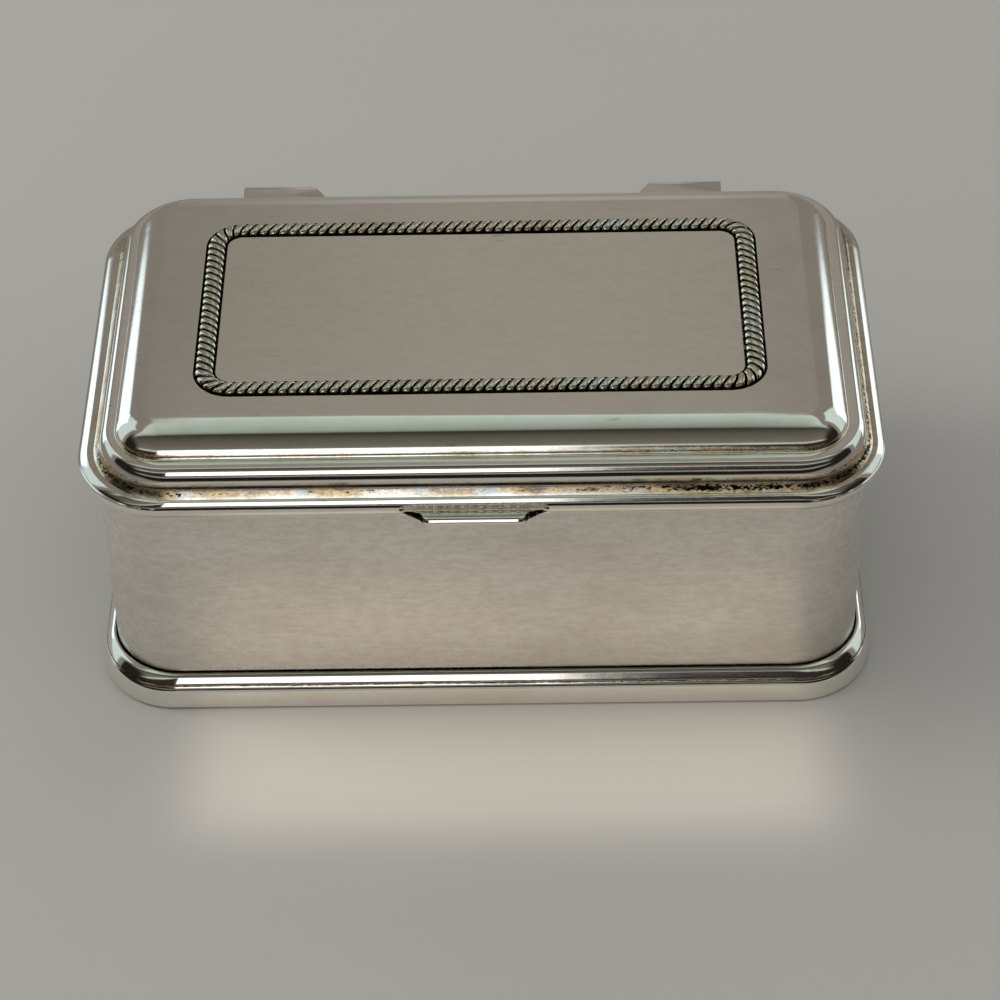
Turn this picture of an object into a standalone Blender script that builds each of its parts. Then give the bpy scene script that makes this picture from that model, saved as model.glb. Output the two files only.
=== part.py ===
# Silver-plated trinket box with a stepped, rope-bordered lid on two small hinges.
# Units are metres. +X runs along the box, +Y to the hinges at the back, +Z up.
# The origin is the centre of the felt underside.

import math

import bmesh
import bpy
from mathutils import Matrix, Vector

MM = 0.001

# Gaps between pieces that are soldered, glued or laid on each other, and in the hinges
SEAT_GAP = 0.3 * MM
RUNNING_GAP = 0.25 * MM

# Lid in plan: the outermost line of its rim, and the corner where the flat top begins
RIM_LENGTH = 127.0 * MM
RIM_DEPTH = 76.8 * MM
RIM_CORNER = 14.0 * MM
TOP_CORNER = 1.5 * MM

# Lid sheet and its outer profile, from the lower edge upwards
SEAM_HEIGHT = 42.2 * MM
LID_SHEET = 0.8 * MM
RIM_BEAD_RADIUS = 1.6 * MM
RIM_BEAD_ANGLES = (-58.0, 78.0)
COVE_RADIUS = 3.2 * MM
COVE_ANGLES = (67.0, 8.0)
STEP_BEAD_WIDTH = 1.8 * MM
STEP_BEAD_HEIGHT = 0.8 * MM
FILLET_RADIUS = 2.6 * MM
FILLET_ANGLE = 62.0
SHOULDER_RADIUS = 4.84 * MM
SHOULDER_ANGLE = 15.5

# Rope border: a twisted wire soldered into a channel around the flat top
ROPE_LENGTH = 86.9 * MM
ROPE_DEPTH = 40.9 * MM
ROPE_CORNER = 4.3 * MM
ROPE_WIDTH = 2.9 * MM
ROPE_STAND = 0.8 * MM
ROPE_SUNK = 0.7 * MM
ROPE_PITCH = 1.78 * MM
ROPE_LAY_ANGLE = 60.0
ROPE_VALLEY = 0.7

# Seat frame inside the lid, which comes down on the body's top edge
RIM_LAP = 1.0 * MM
SEAT_FRAME_WIDTH = 2.4 * MM
SEAT_FRAME_SHEET = 0.8 * MM

# Body walls: how far the rim overhangs them, their sheet and their corner
RIM_OVERHANG = 2.73 * MM
BODY_WALL = 1.0 * MM
BODY_CORNER = 11.3 * MM

# Foot of the box: moulding around the walls, bottom plate and felt
BASE_OVERHANG = 2.58 * MM
BASE_CORNER = 12.7 * MM
BASE_TUCK = 0.45 * MM
BASE_BEAD_START = 2.2 * MM
BASE_BEAD_RADIUS = 2.76 * MM
BASE_BEAD_ANGLES = (-22.0, 35.0)
BASE_STEP_RADIUS = 2.32 * MM
BASE_STEP_ANGLES = (20.0, 78.0)
FELT_THICKNESS = 0.9 * MM
FELT_PROUD = 0.3 * MM
BOTTOM_PLATE = 1.0 * MM

# Velvet linings on card
FLOOR_PAD = 2.0 * MM
WALL_LINING = 1.6 * MM
LINING_DROP = 1.3 * MM
LID_PAD = 1.8 * MM
LINING_ROUND = 0.5 * MM

# Hinges: place of the pin axis behind the rim and above the seam, and their pieces
HINGE_OFFSET = 34.6 * MM
AXIS_BEHIND_RIM = 2.7 * MM
AXIS_OVER_SEAM = 0.8 * MM
PIN_RADIUS = 0.6 * MM
BARREL_RADIUS = 1.45 * MM
BARREL_LENGTH = 6.0 * MM
HOOD_SHEET = 0.6 * MM
LEAF_OUTER_SIDE = 6.3 * MM
LEAF_INNER_ROOT = 8.1 * MM
LEAF_INNER_TIP = 5.5 * MM
ARM_SHEET = 0.8 * MM
FLANGE_WIDTH = 13.0 * MM
FLANGE_HEIGHT = 5.0 * MM

# Thumb tab on the front of the rim
TAB_ROOT = 23.2 * MM
TAB_TIP = 14.8 * MM
TAB_REACH = 3.0 * MM
TAB_SHEET = 1.1 * MM
TAB_OVER_SEAM = 1.2 * MM

CORNER_STEPS = 8

# Sizes that follow from the ones above
RIM_HALF = Vector((RIM_LENGTH / 2, RIM_DEPTH / 2))
BODY_HALF = RIM_HALF - Vector((RIM_OVERHANG, RIM_OVERHANG))
BODY_TOP = SEAM_HEIGHT + RIM_LAP
WALL_FOOT = FELT_THICKNESS + SEAT_GAP
PLATE_TOP = WALL_FOOT + BOTTOM_PLATE
FLOOR_TOP = PLATE_TOP + SEAT_GAP + FLOOR_PAD
ROPE_HALF = Vector((ROPE_LENGTH / 2, ROPE_DEPTH / 2))
CHANNEL_HALF_WIDTH = ROPE_WIDTH / 2 + RUNNING_GAP
CHANNEL_DEPTH = ROPE_SUNK + SEAT_GAP
AXIS_Y = RIM_HALF.y + AXIS_BEHIND_RIM
AXIS_Z = SEAM_HEIGHT + AXIS_OVER_SEAM
HOOD_RADIUS = BARREL_RADIUS + RUNNING_GAP + HOOD_SHEET
SADDLE_RADIUS = RIM_BEAD_RADIUS + SEAT_GAP


def clear_scene():
    for obj in list(bpy.data.objects):
        bpy.data.objects.remove(obj, do_unlink=True)


def new_collection(name):
    collection = bpy.data.collections.new(name)
    bpy.context.scene.collection.children.link(collection)
    return collection


def make_material(name, color, roughness, metallic):
    material = bpy.data.materials.new(name)
    material.use_nodes = True
    shader = material.node_tree.nodes["Principled BSDF"]
    shader.inputs["Base Color"].default_value = (*color, 1.0)
    shader.inputs["Roughness"].default_value = roughness
    shader.inputs["Metallic"].default_value = metallic
    return material


def silver(name, roughness=0.2):
    return make_material(name + "_silver", (0.66, 0.62, 0.56), roughness, 1.0)


def cloth(name, color):
    return make_material(name + "_cloth", color, 0.95, 0.0)


def arc(center, radius, start, end, steps):
    """Points of a circular arc from start to end degrees about center."""
    turns = [math.radians(start + (end - start) * i / steps) for i in range(steps + 1)]
    return [center + radius * Vector((math.cos(t), math.sin(t))) for t in turns]


def bulge(start, radius, angles, steps):
    """Profile arc that swells outwards, met at start by a face of the first elevation.

    A profile point is (inset from the outermost line, height), and an angle is the
    elevation in degrees that the outer face looks at.
    """
    first = math.radians(angles[0])
    center = start + radius * Vector((math.cos(first), -math.sin(first)))
    return arc(center, radius, 180.0 - angles[0], 180.0 - angles[1], steps)


def hollow(start, radius, angles, steps):
    """Profile arc that curves inwards, given like a bulge."""
    first = math.radians(angles[0])
    center = start - radius * Vector((math.cos(first), -math.sin(first)))
    return arc(center, radius, -angles[0], -angles[1], steps)


def rounded_rectangle(half, radius, steps=CORNER_STEPS):
    """Plan outline, anticlockwise from the right-hand corner at the front."""
    reach = half - Vector((radius, radius))
    points = []
    for index, (sx, sy) in enumerate(((1, -1), (1, 1), (-1, 1), (-1, -1))):
        corner = Vector((sx * reach.x, sy * reach.y))
        points += arc(corner, radius, 90.0 * (index - 1), 90.0 * index, steps)
    return points


def inset_half(half, inset):
    return half - Vector((inset, inset))


def ring(half, radius, height):
    return [Vector((p.x, p.y, height)) for p in rounded_rectangle(half, radius)]


def link_mesh(name, bm, collection, material, sharp_angle=35.0):
    bmesh.ops.recalc_face_normals(bm, faces=bm.faces)
    mesh = bpy.data.meshes.new(name)
    bm.to_mesh(mesh)
    bm.free()
    mesh.shade_smooth()
    mesh.set_sharp_from_angle(angle=math.radians(sharp_angle))
    obj = bpy.data.objects.new(name, mesh)
    collection.objects.link(obj)
    if material:
        mesh.materials.append(material)
    return obj


def loft(name, rings, closed, collection, material, sharp_angle=35.0):
    """Skin a row of rings: closed joins the last to the first, else both ends are capped."""
    bm = bmesh.new()
    loops = [[bm.verts.new(point) for point in points] for points in rings]
    pairs = list(zip(loops, loops[1:]))
    if closed:
        pairs.append((loops[-1], loops[0]))
    else:
        bm.faces.new(loops[0])
        bm.faces.new(loops[-1])
    for lower, upper in pairs:
        for i in range(len(lower)):
            j = (i + 1) % len(lower)
            bm.faces.new((lower[i], lower[j], upper[j], upper[i]))
    return link_mesh(name, bm, collection, material, sharp_angle)


def extruded(name, outlines, thickness, collection, material=None, along_x=False):
    """Flat outlines with a thickness: an outline inside another is a hole.

    The solid stands on z = 0, or lies about x = 0 with its outline in the YZ plane.
    """
    curve = bpy.data.curves.new(name, "CURVE")
    curve.dimensions = "2D"
    curve.fill_mode = "BOTH"
    curve.extrude = thickness / 2
    for outline in outlines:
        spline = curve.splines.new("POLY")
        spline.points.add(len(outline) - 1)
        for point, place in zip(spline.points, outline):
            point.co = (place.x, place.y, 0.0, 1.0)
        spline.use_cyclic_u = True
    source = bpy.data.objects.new(name, curve)
    collection.objects.link(source)
    bpy.context.view_layer.update()
    mesh = bpy.data.meshes.new_from_object(
        source.evaluated_get(bpy.context.evaluated_depsgraph_get())
    )
    bpy.data.objects.remove(source, do_unlink=True)
    bpy.data.curves.remove(curve)
    if along_x:
        mesh.transform(Matrix(((0, 0, 1, 0), (1, 0, 0, 0), (0, 1, 0, 0), (0, 0, 0, 1))))
    else:
        mesh.transform(Matrix.Translation((0, 0, thickness / 2)))
    bm = bmesh.new()
    bm.from_mesh(mesh)
    bpy.data.meshes.remove(mesh)
    bmesh.ops.remove_doubles(bm, verts=bm.verts, dist=0.01 * MM)
    return link_mesh(name, bm, collection, material)


def round_edges(obj, width, segments=2):
    modifier = obj.modifiers.new("rounded edges", "BEVEL")
    modifier.width = width
    modifier.segments = segments
    modifier.limit_method = "ANGLE"
    modifier.angle_limit = math.radians(50)


def combine(obj, other, operation):
    modifier = obj.modifiers.new(operation.lower(), "BOOLEAN")
    modifier.operation = operation
    modifier.object = other
    modifier.solver = "EXACT"


def as_cutter(obj):
    obj.display_type = "WIRE"
    obj.hide_render = True
    return obj


def rod(name, radius, length, place, collection, material=None, segments=20):
    """Round bar along X, centred on place."""
    bpy.ops.mesh.primitive_cylinder_add(vertices=segments, radius=radius, depth=length)
    obj = bpy.context.object
    obj.name = name
    obj.data.name = name
    for owner in list(obj.users_collection):
        owner.objects.unlink(obj)
    collection.objects.link(obj)
    obj.data.transform(Matrix.Rotation(math.radians(90), 4, "Y"))
    obj.data.shade_smooth()
    obj.data.set_sharp_from_angle(angle=math.radians(35))
    obj.location = place
    if material:
        obj.data.materials.append(material)
    return obj


def lid_outer_profile():
    """Profile of the lid's outer face, from the lower edge to the flat top."""
    lower_edge = Vector(
        (RIM_BEAD_RADIUS * (1 - math.cos(math.radians(RIM_BEAD_ANGLES[0]))), SEAM_HEIGHT)
    )
    profile = bulge(lower_edge, RIM_BEAD_RADIUS, RIM_BEAD_ANGLES, 7)
    profile += hollow(profile[-1], COVE_RADIUS, COVE_ANGLES, 5)[1:]
    foot = profile[-1]
    for i in range(1, 5):
        turn = math.radians(90.0 * i / 4)
        rise = Vector(
            (STEP_BEAD_WIDTH * (1 - math.cos(turn)), STEP_BEAD_HEIGHT * math.sin(turn))
        )
        profile.append(foot + rise)
    profile += hollow(profile[-1], FILLET_RADIUS, (FILLET_ANGLE, SHOULDER_ANGLE), 4)[1:]
    profile += bulge(profile[-1], SHOULDER_RADIUS, (SHOULDER_ANGLE, 90.0), 7)[1:]
    return profile


LID_PROFILE = lid_outer_profile()
LID_TOP = LID_PROFILE[-1].y
TOP_INSET = LID_PROFILE[-1].x
STEP_FOOT = LID_PROFILE[-16]
STEP_HEAD = LID_PROFILE[-12]


def lid_corner(inset):
    """Plan corner radius of the lid at an inset: it sharpens towards the flat top."""
    return RIM_CORNER - inset * (RIM_CORNER - TOP_CORNER) / TOP_INSET


def lid_inner_profile():
    """Profile of the lid's inner face, from the flat top down to the lower edge."""
    shoulder_center = Vector((TOP_INSET, LID_TOP - SHOULDER_RADIUS))
    profile = arc(
        shoulder_center, SHOULDER_RADIUS - LID_SHEET, 90.0, 180.0 - SHOULDER_ANGLE, 5
    )
    turn = math.radians(FILLET_ANGLE)
    fillet_center = STEP_HEAD - FILLET_RADIUS * Vector((math.cos(turn), -math.sin(turn)))
    profile += arc(
        fillet_center, FILLET_RADIUS + LID_SHEET, -SHOULDER_ANGLE, -FILLET_ANGLE, 3
    )[1:]
    neck = STEP_FOOT + LID_SHEET * Vector((1.3, -0.6))
    face = RIM_OVERHANG - SEAT_GAP
    profile.append(neck)
    profile.append(Vector((face, neck.y - 1.2 * (neck.x - face))))
    profile.append(Vector((face, SEAM_HEIGHT)))
    return profile


def channel_rings(grow, top, depth):
    """Four rings of the rope's channel, from its outer lip inwards."""
    outer = CHANNEL_HALF_WIDTH + grow
    lips = (-outer, -outer, outer, outer)
    heights = (top, top - depth, top - depth, top)
    return [
        ring(inset_half(ROPE_HALF, lip), ROPE_CORNER - lip, height)
        for lip, height in zip(lips, heights)
    ]


def make_lid_shell(collection):
    rings = channel_rings(0.0, LID_TOP, CHANNEL_DEPTH)[::-1]
    for point in LID_PROFILE[::-1] + lid_inner_profile()[::-1]:
        rings.append(ring(inset_half(RIM_HALF, point.x), lid_corner(point.x), point.y))
    rings += channel_rings(LID_SHEET, LID_TOP - LID_SHEET, CHANNEL_DEPTH)
    return loft("lid_shell", rings, False, collection, silver("lid_shell", 0.12), 25.0)


def rope_place(distance):
    """Point and outward direction on the rope's centre line, anticlockwise in plan."""
    reach = inset_half(ROPE_HALF, ROPE_CORNER)
    bend = math.pi / 2 * ROPE_CORNER
    sides = (2 * reach.x, 2 * reach.y, 2 * reach.x, 2 * reach.y)
    corners = ((-1, -1), (1, -1), (1, 1), (-1, 1))
    distance %= sum(sides) + 4 * bend
    for index, side in enumerate(sides):
        heading = index * math.pi / 2
        along = Vector((math.cos(heading), math.sin(heading)))
        outward = Vector((along.y, -along.x))
        center = Vector((corners[index][0] * reach.x, corners[index][1] * reach.y))
        if distance <= side:
            return center + outward * ROPE_CORNER + along * distance, outward
        distance -= side
        if distance <= bend:
            turn = Matrix.Rotation(distance / ROPE_CORNER, 2)
            outward = turn @ outward
            return center + along * side + outward * ROPE_CORNER, outward
        distance -= bend
    return rope_place(0.0)


def rope_length():
    reach = inset_half(ROPE_HALF, ROPE_CORNER)
    return 4 * (reach.x + reach.y) + 2 * math.pi * ROPE_CORNER


def rope_section(fullness):
    """Offsets outwards and up of one section: full on a strand, less between strands."""
    foot = ROPE_WIDTH * 0.36
    side = ROPE_WIDTH / 2 * (1 + fullness) / 2
    crown = (ROPE_SUNK + ROPE_STAND) * fullness
    return [
        (-foot, 0.0),
        (-side, crown * 0.4),
        (-side * 0.66, crown * 0.82),
        (0.0, crown),
        (side * 0.66, crown * 0.82),
        (side, crown * 0.4),
        (foot, 0.0),
    ]


def make_rope_border(collection):
    """Twisted wire: its sections lie along the strands, one on each and one between."""
    length = rope_length()
    strands = round(length / ROPE_PITCH)
    lay = 1 / math.tan(math.radians(ROPE_LAY_ANGLE))
    floor = LID_TOP - ROPE_SUNK
    rings = []
    for index in range(2 * strands):
        distance = length * index / (2 * strands)
        fullness = ROPE_VALLEY if index % 2 else 1.0
        section = []
        for offset, height in rope_section(fullness):
            point, outward = rope_place(distance - lay * offset)
            place = point + outward * offset
            section.append(Vector((place.x, place.y, floor + height)))
        rings.append(section)
    return loft("rope_border", rings, True, collection, silver("rope", 0.15), 80.0)


def make_flat_ring(name, half, corner, width, thickness, height, collection, material):
    outer = rounded_rectangle(half, corner)
    inner = rounded_rectangle(inset_half(half, width), corner - width)
    obj = extruded(name, (outer, inner), thickness, collection, material)
    obj.location.z = height
    return obj


def make_seat_frame(collection):
    half = inset_half(RIM_HALF, RIM_OVERHANG)
    return make_flat_ring(
        "lid_seat_frame", half, lid_corner(RIM_OVERHANG), SEAT_FRAME_WIDTH,
        SEAT_FRAME_SHEET, BODY_TOP + SEAT_GAP, collection, silver("seat_frame"),
    )


def make_lid_pad(collection):
    top = LID_TOP - CHANNEL_DEPTH - LID_SHEET - SEAT_GAP
    rise = top - (LID_TOP - SHOULDER_RADIUS)
    run = math.sqrt((SHOULDER_RADIUS - LID_SHEET) ** 2 - rise**2)
    inset = TOP_INSET - run + SEAT_GAP
    outline = rounded_rectangle(inset_half(RIM_HALF, inset), lid_corner(inset))
    pad = extruded("lid_lining", (outline,), LID_PAD, collection, cloth("lid_lining", VELVET))
    pad.location.z = top - LID_PAD
    round_edges(pad, LINING_ROUND)
    return pad


def plan_prism(name, outline, collection):
    """Tall prism over a plan outline, used to trim a piece to its shape from above."""
    prism = extruded(name, (outline,), 2 * LID_TOP, collection)
    return as_cutter(prism)


def make_thumb_tab(collection, cutters):
    """Lifting tab whose rear edge is hollowed to sit on the rim's bead."""
    bead = Vector((RIM_HALF.y - RIM_BEAD_RADIUS, bead_height()))
    top = SEAM_HEIGHT + TAB_OVER_SEAM
    nose = TAB_SHEET / 2
    tip = RIM_HALF.y + TAB_REACH
    saddle = [
        math.degrees(math.asin((height - bead.y) / SADDLE_RADIUS))
        for height in (top - TAB_SHEET, top)
    ]
    side = arc(bead, SADDLE_RADIUS, saddle[0], saddle[1], 5)
    side += arc(Vector((tip - nose, top - nose)), nose, 90.0, -90.0, 6)
    side = [Vector((-point.x, point.y)) for point in side]
    tab = extruded("thumb_tab", (side,), TAB_ROOT, collection, silver("thumb_tab"), True)
    root = RIM_HALF.y - RIM_BEAD_RADIUS
    plan = [Vector((-TAB_ROOT / 2, -root)), Vector((-TAB_ROOT / 2, -RIM_HALF.y))]
    plan += rounded_tip(TAB_TIP / 2, tip)
    plan += [Vector((TAB_ROOT / 2, -RIM_HALF.y)), Vector((TAB_ROOT / 2, -root))]
    combine(tab, plan_prism("tab_outline", plan, cutters), "INTERSECT")
    return tab


def rounded_tip(half_width, reach):
    """Front edge of the tab, with its two corners rounded."""
    radius = TAB_REACH / 2
    left = arc(Vector((radius - half_width, radius - reach)), radius, 215.0, 270.0, 4)
    right = arc(Vector((half_width - radius, radius - reach)), radius, 270.0, 325.0, 4)
    return left + right


def bead_height():
    """Height of the centre of the rim's bead."""
    return SEAM_HEIGHT - RIM_BEAD_RADIUS * math.sin(math.radians(RIM_BEAD_ANGLES[0]))


def make_body_shell(collection):
    return make_flat_ring(
        "body_shell", BODY_HALF, BODY_CORNER, BODY_WALL, BODY_TOP - WALL_FOOT,
        WALL_FOOT, collection, silver("body_shell", 0.3),
    )


def make_base_moulding(collection):
    """Two-step moulding around the foot of the walls."""
    half = BODY_HALF + Vector((BASE_OVERHANG, BASE_OVERHANG))
    bead_swell = BASE_BEAD_RADIUS * (1 - math.cos(math.radians(BASE_BEAD_ANGLES[0])))
    bead = bulge(
        Vector((bead_swell, BASE_BEAD_START)), BASE_BEAD_RADIUS, BASE_BEAD_ANGLES, 5
    )
    step = bulge(bead[-1], BASE_STEP_RADIUS, BASE_STEP_ANGLES, 5)
    inner = BASE_OVERHANG - SEAT_GAP
    profile = [Vector((inner, FELT_PROUD)), Vector((BASE_TUCK, FELT_PROUD))]
    profile += bead + step[1:] + [Vector((inner, step[-1].y))]
    inner_corner = BODY_CORNER + SEAT_GAP
    sharpen = (BASE_CORNER - inner_corner) / inner
    rings = [
        ring(inset_half(half, p.x), BASE_CORNER - sharpen * p.x, p.y) for p in profile
    ]
    return loft("base_moulding", rings, True, collection, silver("moulding", 0.2), 25.0)


def make_plates(collection):
    """Bottom plate between the walls, and the felt under it inside the moulding."""
    inside = BODY_WALL + SEAT_GAP
    outline = rounded_rectangle(inset_half(BODY_HALF, inside), BODY_CORNER - inside)
    plate = extruded(
        "bottom_plate", (outline,), BOTTOM_PLATE, collection, silver("bottom_plate", 0.35)
    )
    plate.location.z = WALL_FOOT
    outline = rounded_rectangle(BODY_HALF, BODY_CORNER)
    extruded("base_felt", (outline,), FELT_THICKNESS, collection, cloth("felt", FELT))
    return plate


def make_floor_pad(collection):
    inside = BODY_WALL + SEAT_GAP
    outline = rounded_rectangle(inset_half(BODY_HALF, inside), BODY_CORNER - inside)
    pad = extruded(
        "floor_lining", (outline,), FLOOR_PAD, collection, cloth("floor_lining", VELVET)
    )
    pad.location.z = PLATE_TOP + SEAT_GAP
    round_edges(pad, LINING_ROUND)
    return pad


def make_wall_linings(collection):
    """Four velvet strips that meet in the corners, standing on the floor pad."""
    outer = BODY_CORNER - BODY_WALL - SEAT_GAP
    inner = outer - WALL_LINING
    reach = inset_half(BODY_HALF, BODY_CORNER)
    foot = FLOOR_TOP + SEAT_GAP
    height = BODY_TOP - LINING_DROP - foot
    parting = math.degrees(SEAT_GAP / 2 / inner)
    names = ("lining_front", "lining_right", "lining_back", "lining_left")
    signs = ((-1, -1), (1, -1), (1, 1), (-1, 1))
    for index, name in enumerate(names):
        ends = [Vector((x * reach.x, y * reach.y)) for x, y in (signs * 2)[index:index + 2]]
        middle = 270.0 + 90.0 * index
        spans = ((middle - 45.0 + parting, middle), (middle, middle + 45.0 - parting))
        face = [
            point for end, span in zip(ends, spans) for point in arc(end, outer, *span, 4)
        ]
        back = [
            point for end, span in zip(ends, spans) for point in arc(end, inner, *span, 4)
        ]
        lining = extruded(
            name, (face + back[::-1],), height, collection, cloth(name, VELVET)
        )
        lining.location.z = foot
        round_edges(lining, LINING_ROUND)


def lid_leaf_side():
    """Outline of the lid's leaf seen along the pin, about the pin axis."""
    bead = Vector((-AXIS_BEHIND_RIM - RIM_BEAD_RADIUS, bead_height() - AXIS_Z))
    saddle_top = math.degrees(math.asin((HOOD_RADIUS - bead.y) / SADDLE_RADIUS))
    outline = arc(bead, SADDLE_RADIUS, saddle_top, -35.0, 6)
    outline += arc(Vector((0, 0)), HOOD_RADIUS, -145.0, 90.0, 18)
    return outline


def leaf_pocket_side():
    """Outline of the room that the lid's leaf leaves for the barrel and its arm."""
    room = BARREL_RADIUS + RUNNING_GAP
    clear = SEAT_GAP + SEAT_GAP - AXIS_OVER_SEAM
    far = 2 * HOOD_RADIUS
    outline = [Vector((-far, -far)), Vector((-far, clear - SEAT_GAP))]
    outline.append(Vector((-room, clear - SEAT_GAP)))
    outline += arc(Vector((0, 0)), room, 180.0, 0.0, 12)
    outline += [Vector((far, 0)), Vector((far, -far))]
    return outline


def lid_leaf_plan(side):
    """Plan outline of the lid's leaf: straight outside, tapered on its inner side."""
    root = -AXIS_BEHIND_RIM - RIM_BEAD_RADIUS
    rear = HOOD_RADIUS
    outer_round = HOOD_SHEET
    inner_round = 2 * HOOD_SHEET
    outline = [Vector((-LEAF_OUTER_SIDE, root))]
    outline += arc(
        Vector((outer_round - LEAF_OUTER_SIDE, rear - outer_round)),
        outer_round, 180.0, 90.0, 3,
    )
    outline += arc(
        Vector((LEAF_INNER_TIP - inner_round, rear - inner_round)),
        inner_round, 90.0, 20.0, 4,
    )
    outline += [Vector((LEAF_INNER_ROOT, -AXIS_BEHIND_RIM)), Vector((LEAF_INNER_ROOT, root))]
    return [Vector((side * point.x, point.y + AXIS_Y)) for point in outline]


def make_lid_leaf(name, side, collection, cutters):
    """Hooded leaf on the lid, with a cheek on each side of the barrel."""
    center = -side * HINGE_OFFSET
    place = Vector((center, AXIS_Y, AXIS_Z))
    width = 2 * LEAF_INNER_ROOT
    leaf = extruded(name, (lid_leaf_side(),), width, collection, silver(name), True)
    leaf.location = place
    plan = [point + Vector((center, 0)) for point in lid_leaf_plan(side)]
    combine(leaf, plan_prism(name + "_outline", plan, cutters), "INTERSECT")
    room = BARREL_LENGTH + 2 * RUNNING_GAP
    pocket = extruded(name + "_pocket", (leaf_pocket_side(),), room, cutters, None, True)
    pocket.location = place
    combine(leaf, as_cutter(pocket), "DIFFERENCE")
    hole = rod(name + "_hole", PIN_RADIUS + RUNNING_GAP, 2 * width, place, cutters)
    combine(leaf, as_cutter(hole), "DIFFERENCE")
    return leaf


def body_leaf_side():
    """Outline of the body's leaf: an arm under the rim that rolls into the barrel."""
    wall = -AXIS_BEHIND_RIM - RIM_OVERHANG + SEAT_GAP
    top = -AXIS_OVER_SEAM - SEAT_GAP
    meet = 180.0 + math.degrees(math.asin(-top / BARREL_RADIUS))
    outline = [Vector((wall, top - ARM_SHEET)), Vector((wall, top))]
    outline += arc(Vector((0, 0)), BARREL_RADIUS, meet, -100.0, 20)
    outline.append(Vector((-AXIS_BEHIND_RIM + ARM_SHEET / 2, top - ARM_SHEET)))
    return outline


def make_body_leaf(name, side, collection, cutters):
    """Leaf on the back wall: a flange, an arm and the barrel around the pin."""
    place = Vector((-side * HINGE_OFFSET, AXIS_Y, AXIS_Z))
    outline = body_leaf_side()
    leaf = extruded(name, (outline,), BARREL_LENGTH, collection, silver(name), True)
    leaf.location = place
    wall, top = outline[1]
    half = Vector((FLANGE_WIDTH / 2, FLANGE_HEIGHT / 2))
    flange = extruded(
        name + "_flange", (rounded_rectangle(half, ARM_SHEET, 3),), ARM_SHEET, cutters
    )
    flange.data.transform(Matrix.Rotation(math.radians(90), 4, "X"))
    flange.location = place + Vector((0, wall + ARM_SHEET, top - FLANGE_HEIGHT / 2))
    combine(leaf, as_cutter(flange), "UNION")
    hole = rod(name + "_hole", PIN_RADIUS + RUNNING_GAP, 2 * BARREL_LENGTH, place, cutters)
    combine(leaf, as_cutter(hole), "DIFFERENCE")
    return leaf


def make_pin(name, side, collection):
    """Hinge pin, as long as the leaf at its tip less a gap at each end."""
    length = LEAF_OUTER_SIDE + LEAF_INNER_TIP - 2 * SEAT_GAP
    shift = (LEAF_INNER_TIP - LEAF_OUTER_SIDE) / 2
    place = Vector((side * (shift - HINGE_OFFSET), AXIS_Y, AXIS_Z))
    return rod(name, PIN_RADIUS, length, place, collection, silver(name, 0.4), 16)


def make_hinge(name, side, collection, cutters):
    """One hinge: side is 1 on the left of the box and -1 on the right."""
    make_body_leaf(name + "_body_leaf", side, collection, cutters)
    make_pin(name + "_pin", side, collection)
    return make_lid_leaf(name + "_lid_leaf", side, collection, cutters)


def hang_on_axis(pieces):
    """Parent the lid's pieces to an empty on the hinge axis."""
    axis = bpy.data.objects.new("lid_hinge_axis", None)
    bpy.context.scene.collection.objects.link(axis)
    axis.location = (0.0, AXIS_Y, AXIS_Z)
    bpy.context.view_layer.update()
    for piece in pieces:
        piece.parent = axis
        piece.matrix_parent_inverse = axis.matrix_world.inverted()


VELVET = (0.02, 0.035, 0.16)
FELT = (0.012, 0.02, 0.05)


def main():
    clear_scene()
    parts = new_collection("trinket_box")
    cutters = new_collection("cutters")
    make_body_shell(parts)
    make_base_moulding(parts)
    make_plates(parts)
    make_floor_pad(parts)
    make_wall_linings(parts)
    lid = [
        make_lid_shell(parts),
        make_rope_border(parts),
        make_seat_frame(parts),
        make_lid_pad(parts),
        make_thumb_tab(parts, cutters),
        make_hinge("left_hinge", 1, parts, cutters),
        make_hinge("right_hinge", -1, parts, cutters),
    ]
    hang_on_axis(lid)


main()
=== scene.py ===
"""Looks of a silver-plated trinket box with a stepped, rope-bordered lid.

Every piece is worked out with numpy as whole grids of points, in metres, in the frame of the
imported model: +X along the box, +Y to the hinges at the back, +Z up, origin under the felt.
"""
import logging
import math
from dataclasses import dataclass, field
from enum import Enum
from typing import Mapping, Sequence

import bmesh
import bpy
import numpy as np
from mathutils import Matrix, Vector


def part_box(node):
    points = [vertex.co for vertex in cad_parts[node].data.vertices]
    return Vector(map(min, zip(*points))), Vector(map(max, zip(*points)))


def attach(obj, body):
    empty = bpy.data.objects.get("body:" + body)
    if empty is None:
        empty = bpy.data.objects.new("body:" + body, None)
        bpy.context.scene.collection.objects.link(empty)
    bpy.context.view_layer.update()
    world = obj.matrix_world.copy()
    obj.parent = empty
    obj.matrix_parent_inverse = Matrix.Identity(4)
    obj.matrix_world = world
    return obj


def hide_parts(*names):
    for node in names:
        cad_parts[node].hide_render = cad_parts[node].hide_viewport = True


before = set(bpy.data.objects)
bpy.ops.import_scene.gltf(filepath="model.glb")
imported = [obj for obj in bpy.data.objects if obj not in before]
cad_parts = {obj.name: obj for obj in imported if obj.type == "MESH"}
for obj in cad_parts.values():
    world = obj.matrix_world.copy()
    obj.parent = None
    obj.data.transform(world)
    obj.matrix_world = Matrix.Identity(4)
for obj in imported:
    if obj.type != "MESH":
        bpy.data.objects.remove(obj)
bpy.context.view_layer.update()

LOG = logging.getLogger("trinket_box")
MM = 0.001

Color = tuple[float, float, float]


class Slot(Enum):
    """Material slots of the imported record."""

    POLISHED = "polished_silver"
    SATIN = "satin_silver"
    STEEL = "steel"
    VELVET = "velvet"
    FELT = "felt"


class Body(Enum):
    """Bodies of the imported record."""

    BOX = "box"
    LID = "lid"


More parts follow.
